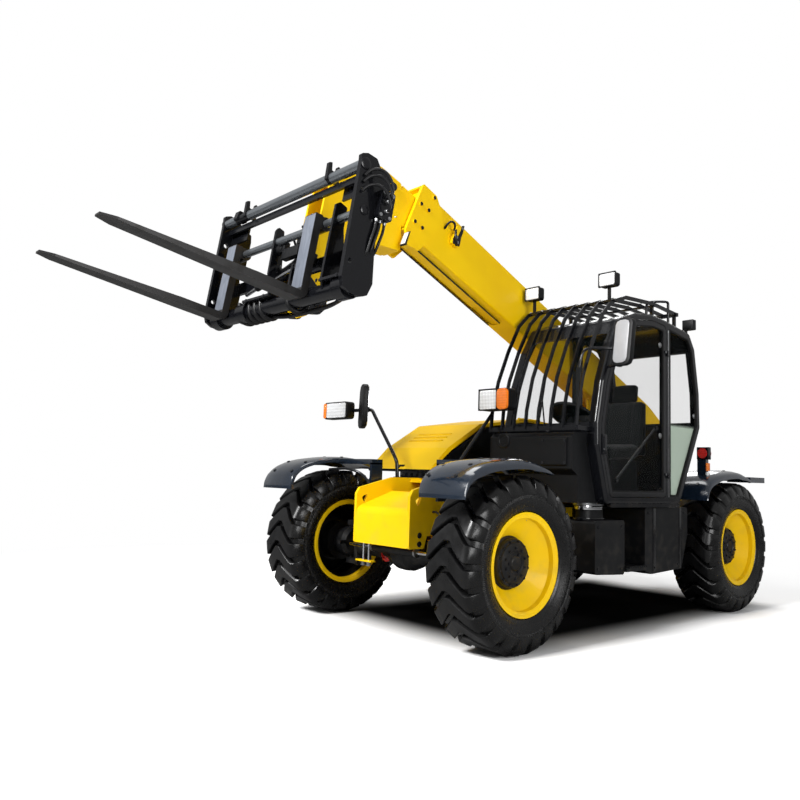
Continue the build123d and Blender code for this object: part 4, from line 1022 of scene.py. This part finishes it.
piece("head_lamp_lens", CLEAR_LENS, "chassis", plate(upright, panel(243, 1730, 176, 150), -23, -10), rounding=4)
piece("head_lamp_indicator", AMBER, "chassis", plate(upright, panel(394, 1730, 108, 164, 30), -34, 28),
    rounding=9)
piece("head_lamp_hood", PLASTIC, "chassis", block((243, -12, 1812), (190, 34, 8)),
    block((336, -14, 1730), (8, 34, 160)), block((152, -12, 1730), (8, 34, 168)), rounding=2)
for tag, x in (("right", 230), ("left", 960)):
    piece("roof_lens_" + tag, CLEAR_LENS, "chassis", plate(upright, panel(x, 2680, 136, 94), 522, 533),
        rounding=3)
    piece("roof_rim_" + tag, PLASTIC, "chassis", *[block((x, 527, z), (150, 14, 7)) for z in (2733, 2627)],
        *[block((x + half, 527, 2680), (7, 14, 106)) for half in (-73, 73)], rounding=1.5)
piece("side_lamp_lens", CLEAR_LENS, "chassis", plate(upright, panel(-1112, 1665, 266, 128), -493, -482),
    rounding=4)
piece("side_lamp_indicator", AMBER, "chassis", plate(upright, panel(-1274, 1665, 42, 132, 14), -492, -410),
    rounding=5)
print("front lamps")

# %% Mirrors
LEAN = 0.15


def leaning(y, x, z):
    """The left mirror's head leans back at the top, so that the driver sees the ground beside the cab."""
    return on_machine(1225 + x, 345 + y + z * LEAN, 2135 + z)


frame_left = piece("mirror_left_frame", PLASTIC, "chassis", plate(leaning, panel(0, 0, 150, 358, 44), -27, 27),
    block((1155, 384, 1990), (30, 68, 54)), rounding=7)
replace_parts(frame_left, "mirror_left")
# Its front face is painted pale grey, a painted highlight on the head's glossy back.
piece("mirror_left_cover", MIRROR_HIGHLIGHT_FACE, "chassis", plate(leaning, panel(-6, 2, 112, 322, 34), -31, -25), rounding=2)
piece("mirror_left_glass", MIRROR, "chassis", plate(leaning, panel(0, 0, 130, 338, 36), 26, 29), rounding=1)
bent("mirror_left_arm", BLACK, "chassis", on_machine,
    [(1040, 60, 1930), (1052, 70, 2030), (1064, 120, 2078), (1100, 280, 2090), (1155, 335, 2092)], 11)
bent("mirror_left_stay", BLACK, "chassis", on_machine,
    [(1040, 405, 1975), (1090, 405, 1975), (1130, 395, 1980), (1156, 384, 1990)], 11)
HEAD_TURN = radians(-25)


def turned_head(y, x, z):
    """The right mirror's head, turned towards the driver and leaning in a little."""
    return on_machine(-790 + x * cos(HEAD_TURN) - y * sin(HEAD_TURN) + z * 0.05,
        -440 + x * sin(HEAD_TURN) + y * cos(HEAD_TURN), 1690 + z)


frame_right = piece("mirror_right_frame", PLASTIC, "chassis",
    plate(turned_head, panel(0, 0, 160, 376, 60), -22, 22),
    plate(upright, panel(-1130, 1665, 330, 150, 28), -485, -395), block((-327.8, -440, 1070), (35, 60, 70)),
    block((-792, -412, 1664), (70, 30, 44)), rounding=6)
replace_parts(frame_right, "mirror_right")
piece("mirror_right_glass", MIRROR, "chassis", plate(turned_head, panel(0, 0, 142, 354, 46), 21, 26),
    rounding=1)
bent("mirror_right_pole", BLACK, "chassis", on_machine,
    [(-328, -440, 1085), (-334, -440, 1200), (-350, -438, 1245), (-520, -420, 1432), (-690, -402, 1620),
        (-722, -398, 1660), (-800, -396, 1664), (-970, -405, 1664)], 15)
print("mirrors")

# %% [markdown]
# ## Cab openings
# Glass sits in black rubber that is pressed into the frame. The strip follows the cab's side outline at
# a fixed distance, so it is worked out from that outline: `inset` moves each side inwards and finds
# the new corners, and `cut` trims the shape at the door post. Locks, fixings, the wiper and what
# stands on the roof are small plates, bars and turned pieces.

# %% Outlines drawn in and trimmed
CAB = [(390, 948), (262, 1381), (260, 1551), (330, 1870), (445, 2160), (580, 2371), (800, 2450), (1030, 2478),
    (1251, 2461), (1631, 2410), (1725, 2280), (1800, 1900), (1812, 1600), (1464, 948)]


def inset(outline, by):
    """The outline with every side moved inwards."""
    sides = []
    for i, (y, z) in enumerate(outline):
        far = outline[(i + 1) % len(outline)]
        run = Vector((far[0] - y, far[1] - z)).normalized()
        sides.append((Vector((y, z)) + Vector((run.y, -run.x)) * by, run))
    corners = []
    for (a, run_a), (b, run_b) in zip([sides[-1]] + sides[:-1], sides):
        share = ((b - a).x * run_b.y - (b - a).y * run_b.x) / (run_a.x * run_b.y - run_a.y * run_b.x)
        corners.append(tuple(a + run_a * share))
    return corners


def cut(outline, axis, limit, above):
    """Keeps the part of an outline above or below a limit on one axis."""
    kept = []
    for i, here in enumerate(outline):
        far = outline[(i + 1) % len(outline)]
        inside, next_inside = (here[axis] > limit) == above, (far[axis] > limit) == above
        if inside:
            kept.append(here)
        if inside != next_inside:
            share = (limit - here[axis]) / (far[axis] - here[axis])
            kept.append(tuple(here[k] + share * (far[k] - here[k]) for k in (0, 1)))
    return kept


def door_line(by, back=1190, low=1050):
    return cut(cut(inset(CAB, by), 0, back, False), 1, low, True)


def rear_line(by, front=1292, low=1012):
    return cut(cut(inset(CAB, by), 0, front, True), 1, low, True)


def strip(place, outer, inner, low, high):
    """A closed strip between two outlines with as many corners each."""
    count = len(outer)
    corners = [place(x, *p) for x in (low, high) for line in (outer, inner) for p in line]
    faces = []
    for i in range(count):
        j = (i + 1) % count
        faces += [(i, j, count + j, count + i), (2 * count + i, 2 * count + j, 3 * count + j, 3 * count + i),
            (i, j, 2 * count + j, 2 * count + i), (count + i, count + j, 3 * count + j, 3 * count + i)]
    return corners, faces


print("door glass has", len(door_line(100)), "corners")

# %% Seals, post strip, handle and glass fixings
piece("door_seal", SEAL, "door",
    strip(on_machine, door_line(96, 1193, 1046), door_line(108, 1182, 1057), 1046, 1062), rounding=2)
piece("rear_seal", SEAL, "chassis",
    strip(on_machine, rear_line(64, 1288, 1008), rear_line(80, 1302, 1022), 1040, 1062), rounding=2)
piece("post_strip", ZINC, "chassis",
    plate(on_machine, [(1266, 1010), (1277, 1010), (1277, 2380), (1266, 2380)], 1058, 1062.5), rounding=1)
piece("door_lock", BLACK, "door", block((1064, 346, 1390), (10, 52, 150)),
    turned(on_machine(1068, 346, 1350), (1, 0, 0), [(17, 0), (17, 5), (12, 8), (5, 8)], 24), rounding=3)
bolts("hinge_bolts", ZINC, "door", [(on_machine(1066.5, 1222, z), (1, 0, 0)) for z in (1190.5, 2190.5)], 7, 5)
FIXING = [(22, 0), (22, 5), (16, 9), (8, 10), (0, 10)]
for number, (y, z) in enumerate(((374, 1594), (436, 1943), (1160, 1500), (1160, 2240))):
    piece("glass_fixing_" + str(number), ZINC, "door", turned(on_machine(1045, y, z), (1, 0, 0), FIXING, 28))
piece("rear_fixing", ZINC, "chassis", turned(on_machine(1042, 1720, 1700), (1, 0, 0), FIXING, 28))
piece("grab_rail", BLACK, "door", rod(on_machine(1020, 560, 1130), on_machine(1020, 1130, 1560), 11),
    block((1028, 560, 1130), (20, 30, 30)), block((1028, 1130, 1560), (20, 30, 30)))
piece("wiper", BLACK, "chassis", rod(on_machine(600, 246, 1480), on_machine(520, 300, 1800), 6, 10),
    plate(on_machine, [(268, 1600), (276, 1600), (356, 1960), (346, 1962)], 520, 530),
    turned(on_machine(600, 236, 1480), (0, 1, 0), [(16, 0), (20, 4), (20, 24), (14, 28)], 20))
bolts("cowl_bolts", BLACK, "chassis",
    [(on_machine(x, 64, z), (0, -1, 0)) for x in (716, 914) for z in (1244, 1408)], 8, 6)
piece("cowl_boss", PLASTIC, "chassis",
    turned(on_machine(330, 82, 1412), (0, -1, 0), [(60, 0), (60, 8), (52, 14), (40, 14), (36, 8), (0, 8)], 40))
GUARD_BARS = [191 + 116.3 * i for i in range(8)]
bolts("guard_bolts", BLACK, "chassis", [(on_machine(x, 78, 1500), (0, -1, 0)) for x in GUARD_BARS], 9, 8)
bolts("roof_bolts", ZINC, "chassis",
    [(on_machine(x, y, z), (0, 0, 1)) for x in GUARD_BARS for y, z in ((560, 2527), (1130, 2603))], 8, 7)
print("cab trimmed")

# %% Roof fittings: antenna, rear lamp and bracket
piece("antenna", BLACK, "chassis",
    turned(on_machine(900, 1560, 2410), (0, 0, 1),
        [(20, 0), (20, 12), (12, 30), (4, 44), (2.5, 60), (2.5, 236), (0.8, 240)], 14))
piece("rear_roof_lamp", PLASTIC, "chassis", block((1000, 1730, 2500), (100, 60, 90)),
    block((985, 1700, 2420), (24, 24, 90)), rounding=7)
piece("rear_roof_lens", CLEAR_LENS, "chassis", plate(upright, panel(1000, 2500, 88, 78), 1757, 1768),
    rounding=3)
bent("roof_bracket", BLACK, "chassis", on_machine,
    [(1000, 1030, 2470), (1000, 1030, 2560), (1000, 1060, 2590), (1000, 1330, 2640), (1000, 1374, 2640),
        (1000, 1374, 2600), (1000, 1374, 2440)], 11)
print("roof fittings")

# %% [markdown]
# ## Tanks, fenders and tail
# The oil tank has a bright oval cap on a neck, right behind the front wheel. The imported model's fenders
# are plain bent strips. Here each is drawn again as a thin moulded shell: a section with a crown and a
# rolled outer lip is carried along a smooth arch over the wheel, and the lip tapers towards both ends.
# Arms hold the fenders to the frame, and bolts go through them. At the back, red and amber lamps stand
# on the fender posts, reflectors sit on the counterweight, and a blank plate holder has its own lamp.

# %% Filler cap and fender shells


def lying(z, x, y):
    """For plates that lie flat: height first, then across and along."""
    return on_machine(x, y, z)


def oval(x, y, long, wide, steps=9):
    """Two half circles with straight sides between them."""
    radius, half = wide / 2, (long - wide) / 2
    return [(x + radius * cos(start + pi * i / steps), y + end * half + radius * sin(start + pi * i / steps))
        for end, start in ((1, 0), (-1, pi)) for i in range(steps + 1)]


piece("filler_cap", ZINC, "chassis", plate(lying, oval(860, 445, 282, 168), 938, 966), rounding=5)
piece("filler_band", CHROME, "chassis", plate(lying, oval(860, 450, 262, 152), 906, 938), rounding=3)
piece("filler_foot", BLACK, "chassis", plate(lying, oval(852, 465, 290, 178), 830, 846), rounding=3)
# The arch, behind and above the axle; and the section: how far across, how far in, share of the lip.
ARCH = [(-606, 985), (-603, 1040), (-572, 1108), (-500, 1166), (-390, 1206), (-264, 1228), (-110, 1241),
    (28, 1241), (150, 1216), (230, 1184), (268, 1158)]
ACROSS = [(0, 26, 0), (4, 6, 0), (14, 0, 0), (110, -9, 0), (220, -11, 0), (320, -4, 0), (372, 8, 0),
    (394, 24, 0.3), (400, 44, 1), (400, 62, 1)]


def arch_point(share):
    """A smooth line through the arch: where it is from the axle, and which way is out of the wheel."""
    at = min(share, 0.9999) * (len(ARCH) - 1)
    i, t = int(at), at - int(at)
    a, b, c, d = [Vector(ARCH[min(max(i + k, 0), len(ARCH) - 1)]) for k in (-1, 0, 1, 2)]
    spot = 0.5 * (2 * b + (c - a) * t + (2 * a - 5 * b + 4 * c - d) * t * t + (3 * b - a - 3 * c + d) * t ** 3)
    run = ((c - a) + (2 * a - 5 * b + 4 * c - d) * 2 * t + (3 * b - a - 3 * c + d) * 3 * t * t).normalized()
    return spot, Vector((-run.y, run.x))


def fender_skin(side, axle, steps=64):
    """A shell 5 mm thick that carries ACROSS along the arch; its outer lip tapers at both ends."""
    corners, faces, count = [], [], len(ACROSS)
    for i in range(steps + 1):
        spot, out = arch_point(i / steps)
        taper = min(1, 2.2 * i / steps + 0.25, 3.5 * (1 - i / steps) + 0.1)
        for depth in (0, 5):
            for x, drop, lip in ACROSS:
                low = spot - out * (drop * (taper if lip else 1) + depth * (1 - lip))
                corners.append(on_machine(side * (720 + x - depth * lip), axle + low.x, low.y))
    ring = list(range(count)) + list(range(2 * count - 1, count - 1, -1))
    for i in range(steps):
        for j in range(len(ring)):
            a, b = ring[j], ring[(j + 1) % len(ring)]
            faces.append(
                (i * 2 * count + a, i * 2 * count + b, (i + 1) * 2 * count + b, (i + 1) * 2 * count + a))
    faces += [tuple(ring), tuple(steps * 2 * count + k for k in ring)]
    return corners, faces


for name, axle in (("fenders_front", AXLE_F), ("fenders_rear", AXLE_R)):
    shapes, spots = [], []
    for side in SIDES:
        shapes.append(fender_skin(side, axle))
        shapes.append(block((side * 590.3, axle - 40, 1216), (460, 110, 40)))
        shapes.append(block((side * 372.3, axle - 40, 1074), (24, 110, 268)))
        if axle == AXLE_R:
            shapes.append(block((side * 975, axle - 400, 1300), (80, 46, 230)))
            shapes.append(block((side * 1000, axle + 390, 1177), (220, 300, 50)))
        for share in (0.22, 0.36, 0.62):
            spot, out = arch_point(share)
            spots += [(on_machine(side * x, axle + spot.x + out.x * 9, spot.y + out.y * 9), (0, out.x, out.y))
                for x in (770, 1010)]
    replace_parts(piece(name + "_shell", FENDER_SKY_TINTED, "chassis", *shapes, crease=40), name)
    bolts(name + "_bolts", BLACK, "chassis", spots, 10, 8)
piece("fender_knob", BLACK, "chassis",
    turned(on_machine(690, -833, 1139), (-1, 0, 0), [(12, -40), (12, 0), (26, 4), (26, 26), (18, 32), (0, 32)],
        24))
bent("fender_stay", BLACK, "chassis", on_machine,
    [(-322, -700, 1000), (-340, -720, 1060), (-400, -760, 1130), (-520, -800, 1160), (-640, -820, 1150),
        (-722, -820, 1146)], 11)
print("tank cap and fenders")

# %% Tail
for tag, side in (("left", 1), ("right", -1)):
    piece("tail_case_" + tag, BLACK, "chassis", block((side * 990, 2000, 1395), (104, 60, 110)), rounding=6)
    piece("tail_red_" + tag, RED, "chassis",
        turned(on_machine(side * 990, 2030, 1395), (0, 1, 0),
            [(44, -62), (46, -56), (46, 16), (38, 24), (0, 26)], 32))
    piece("tail_amber_" + tag, AMBER, "chassis", block((side * 1022, 2010, 1275), (16, 54, 70)), rounding=5)
    piece("tail_white_" + tag, CLEAR_LENS, "chassis", block((side * 1022, 2010, 1212), (16, 50, 40)),
        rounding=4)
    # The reflectors wear the red lens finish, with its faint painted glow.
    piece("reflector_" + tag, RED, "chassis", plate(upright, panel(side * 290, 1060, 70, 70, 20), 3157, 3164.5),
        rounding=2)
    piece("rear_lamp_" + tag, RED, "chassis", plate(upright, panel(side * 1000, 1177, 180, 36, 8), 2948, 2960),
        rounding=3)
piece("plate_holder", PLASTIC, "chassis", plate(upright, panel(0, 1080, 300, 130, 10), 3157, 3162),
    block((0, 3156, 1156), (60, 17, 18)), rounding=2)
bolts("weight_bolts", ZINC, "chassis",
    [(on_machine(x, 3159, z), (0, 1, 0)) for x in (-250, 250) for z in (760, 940)], 16, 10)
bolts("tank_bolts", BLACK, "chassis",
    [(on_machine(1001, y, z), (1, 0, 0))
        for y, z in ((370, 780), (680, 780), (370, 480), (680, 470), (1060, 880), (1620, 880), (1150, 450),
            (1520, 460))], 9, 6)
for number, y in enumerate((1130, 1540)):
    piece("tank_strap_" + str(number), BLACK, "chassis",
        plate(on_machine, [(y, 424), (y + 36, 424), (y + 36, 920), (y, 920)], 998, 1004), rounding=1)
print("tail")

# %% [markdown]
# ## The seat
# A suspension seat has a cushion, a backrest and a head pad, each a cloth cover pulled over foam. The
# cover is crowned in the middle, pulled in along its sides between the corners, and sewn down in two
# channels. Each pad starts as a slightly small block, is blown up as cloth with air pressure, and gets
# its channels afterwards. The wheel, levers and display round it are seen only through the glass, so
# turned shapes and plates are enough for them.

# %% Pads blown up as cloth
VOXEL = SWELL = 0.012  # metres, as are the next two
CHANNEL, CHANNEL_DEPTH = 0.03, 0.009


def apply_all(body):
    """Turns the evaluated shape into the object's own mesh, with no modifier left."""
    plain = as_mesh(body)
    body.modifiers.clear()
    body.data = plain


def pad(name, size, lean, centre, channels):
    """A padded block that leans by an angle; its channels run along, at these distances from its middle."""
    mesh = bpy.data.meshes.new(name)
    edit = bmesh.new()
    bmesh.ops.create_cube(edit, size=1)
    for corner in edit.verts:
        corner.co = Vector(c * s for c, s in zip(corner.co, size))
    bmesh.ops.bevel(edit, geom=list(edit.edges), offset=min(size) * 0.3, segments=3, profile=0.5,
        affect="EDGES")
    edit.to_mesh(mesh)
    edit.free()
    body = in_scene(name, mesh)
    bpy.context.view_layer.objects.active = body
    remesh = body.modifiers.new("voxels", "REMESH")
    remesh.mode, remesh.voxel_size = "VOXEL", VOXEL
    apply_all(body)
    before = [v.co.copy() for v in body.data.vertices]
    cloth = body.modifiers.new("air", "CLOTH")
    cloth.settings.use_pressure, cloth.settings.uniform_pressure_force = True, 4.0
    cloth.settings.effector_weights.gravity = 0
    for step in range(1, 21):
        bpy.context.scene.frame_set(step)
    apply_all(body)
    bpy.context.scene.frame_set(1)
    for corner, old in zip(body.data.vertices, before):
        away = corner.co - old
        if away.length > SWELL:
            corner.co = old + away.normalized() * SWELL
        for line in channels:
            near = abs(corner.co.x - line)
            if near < CHANNEL and corner.co.z > 0:
                corner.co.z -= CHANNEL_DEPTH * (1 - near / CHANNEL) ** 2
    cover = body.data
    cover.transform(Matrix.Translation(centre) @ Matrix.Rotation(lean, 4, "X"))
    bpy.data.objects.remove(body)
    made = hang(name, cover, CLOTH, "chassis", 60)
    return made


cushion = pad("seat_cushion", (0.44, 0.47, 0.10), radians(4), on_machine(610, 1010, 1362), (-0.12, 0.12))
pad("seat_back", (0.40, 0.46, 0.095), radians(82), on_machine(610, 1305, 1585), (-0.11, 0.11))
pad("head_pad", (0.23, 0.15, 0.07), radians(84), on_machine(610, 1345, 1880), ())
piece("seat_frame", PLASTIC, "chassis",
    plate(on_machine, [(860, 990.5), (850, 1300), (1240, 1300), (1246, 990.5)], 430, 790),
    plate(on_machine, [(1345, 1350), (1352, 1790), (1384, 1790), (1382, 1350)], 430, 790),
    block((610, 1362, 1830), (30, 20, 120)), rounding=14)
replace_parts(cushion, "seat")
print("seat padded")

# %% Steering wheel, levers and display
wheel_at, wheel_aim = on_machine(610, 540, 1545), Vector((0, 0.5, 0.866))
piece("wheel_grip", PLASTIC, "chassis",
    turned(wheel_at, wheel_aim,
        [(166, 100), (164, 88), (170, 84), (184, 84), (192, 90), (194, 100), (190, 112), (180, 116), (170, 114),
            (166, 106), (166, 100)], 56))
piece("wheel_hub", PLASTIC, "chassis",
    turned(wheel_at, wheel_aim, [(36, 80), (48, 88), (48, 112), (40, 120), (0, 122)], 36),
    turned(wheel_at, wheel_aim, [(30, -60), (32, 60), (24, 84)], 28))
piece("display", PLASTIC, "chassis", block((840, 420, 1560), (150, 26, 110)),
    rod(on_machine(840, 428, 1500), on_machine(800, 430, 1360), 10), rounding=5)
for number, (x, y) in enumerate(((330, 900), (300, 1010))):
    foot = on_machine(x, y, 1150)
    top = foot + Vector((0.01, -0.02, 0.24))
    piece("lever_" + str(number), PLASTIC, "chassis", rod(foot, top, 8, 14),
        turned(top, (0.05, -0.1, 1), [(9, -6), (20, 6), (24, 40), (20, 70), (8, 80), (0, 81)], 24))
piece("side_console", PLASTIC, "chassis",
    plate(on_machine, [(820, 1141), (800, 1200), (1180, 1240), (1240, 1141)], 250, 360), rounding=12)
print("driver's place")

# %% [markdown]
# ## Floor and light
# A studio for machines is a white floor under a very large soft lamp, with a second one low on the
# left so that the black parts show their edges. The background is white by the world's own colour, in
# full only where it is looked at or seen through glass. To anything else the world is a weak grey
# light, a little stronger in mirrored rays, so that the black paint stays black. The floor is pale
# and looks white from far off, it is darker in mirrored rays too, and it still keeps the shadow. Under
# the machine a painted shadow darkens it with a soft edge, because soft lamps alone leave the ground
# there too pale.

# %% Floor
floor_paint = Paint("studio_floor")
seen, mirrored, through = [floor_paint.node("LightPath", out="Is " + ray + " Ray")
    for ray in ("Camera", "Glossy", "Transmission")]
shown = seen.larger(through)
pale = floor_paint.mix(floor_paint.fade(floor_paint.noise(0.7, 2), 0.3, 0.7), grey(0.66), grey(0.68))
bright = floor_paint.mix(shown, floor_paint.mix(mirrored, pale, grey(0.3)), grey(1.5))
# A painted shadow: the floor under the machine is painted near black, fading out over 0.62 m.
across, along = [((floor_paint.part(axis) - middle).alone("ABSOLUTE") - half).larger(0.0)
    for axis, middle, half in (("X", 0.0, 0.72), ("Y", 1.2, 1.55))]
painted_shadow = floor_paint.fade((across * across + along * along).alone("SQRT"), 0.62, 0.0)
matt = floor_paint.node("BsdfDiffuse", {}, {"Color": floor_paint.mix(painted_shadow, bright, grey(0.004))})
away = floor_paint.node("VectorMath", {"operation": "LENGTH"}, {0: floor_paint.place}, out="Value")
white = floor_paint.node("Emission", {}, {"Color": grey(1), "Strength": 1.0})
far = floor_paint.fade(away, 3.6, 6.5)
blend = floor_paint.node("MixShader", {}, {0: far * shown, 1: matt, 2: white})
floor_paint.node("OutputMaterial", {}, {"Surface": blend})
floor_mesh = bpy.data.meshes.new("floor")
FLOOR_HALF, FLOOR_Z = 60, -0.004
floor_mesh.from_pydata(
    [(x * FLOOR_HALF, y * FLOOR_HALF, FLOOR_Z) for x, y in ((-1, -1), (1, -1), (1, 1), (-1, 1))], [],
    [(0, 1, 2, 3)])
floor_mesh.materials.append(floor_paint.material)
in_scene("floor", floor_mesh)
print("floor laid")

# %% World and lamps
world = bpy.data.worlds.new("studio")
world.use_nodes = True
bpy.context.scene.world = world
sky = world.node_tree
sky.nodes.clear()
path = sky.nodes.new("ShaderNodeLightPath")
seen = sky.nodes.new("ShaderNodeMath")
seen.operation = "MAXIMUM"
sky.links.new(path.outputs["Is Camera Ray"], seen.inputs[0])
sky.links.new(path.outputs["Is Transmission Ray"], seen.inputs[1])
shine = sky.nodes.new("ShaderNodeMath")
shine.operation = "MULTIPLY_ADD"
shine.inputs[1].default_value, shine.inputs[2].default_value = 0.25, 0.16
sky.links.new(path.outputs["Is Glossy Ray"], shine.inputs[0])
level = sky.nodes.new("ShaderNodeMath")
level.operation = "MAXIMUM"
sky.links.new(seen.outputs[0], level.inputs[0])
sky.links.new(shine.outputs[0], level.inputs[1])
glow = sky.nodes.new("ShaderNodeBackground")
glow.inputs["Color"].default_value = (1, 1, 1, 1)
sky.links.new(level.outputs[0], glow.inputs["Strength"])
sky.links.new(glow.outputs[0], sky.nodes.new("ShaderNodeOutputWorld").inputs["Surface"])


def lamp(name, place, aim, size, power):
    """A round soft lamp, its size in metres and its power in watts."""
    light = bpy.data.lights.new(name, "AREA")
    light.shape, light.size, light.energy = "DISK", size, power
    turn = (Vector(aim) - Vector(place)).to_track_quat("-Z", "Y")
    in_scene(name, light).matrix_world = Matrix.Translation(place) @ turn.to_matrix().to_4x4()


lamp("key_lamp", (0.5, -9.5, 7.5), (0, 0, 1), 2.6, 1500)
lamp("side_lamp", (8.5, -2.0, 3.6), (0.5, 0.5, 1), 4.5, 400)
lamp("top_lamp", (-1.5, 1.0, 9.5), (0, 1, 0), 5.0, 260)
lamp("back_lamp", (-4, 9, 5), (0, 1, 1.5), 4.0, 160)
print("four lamps")
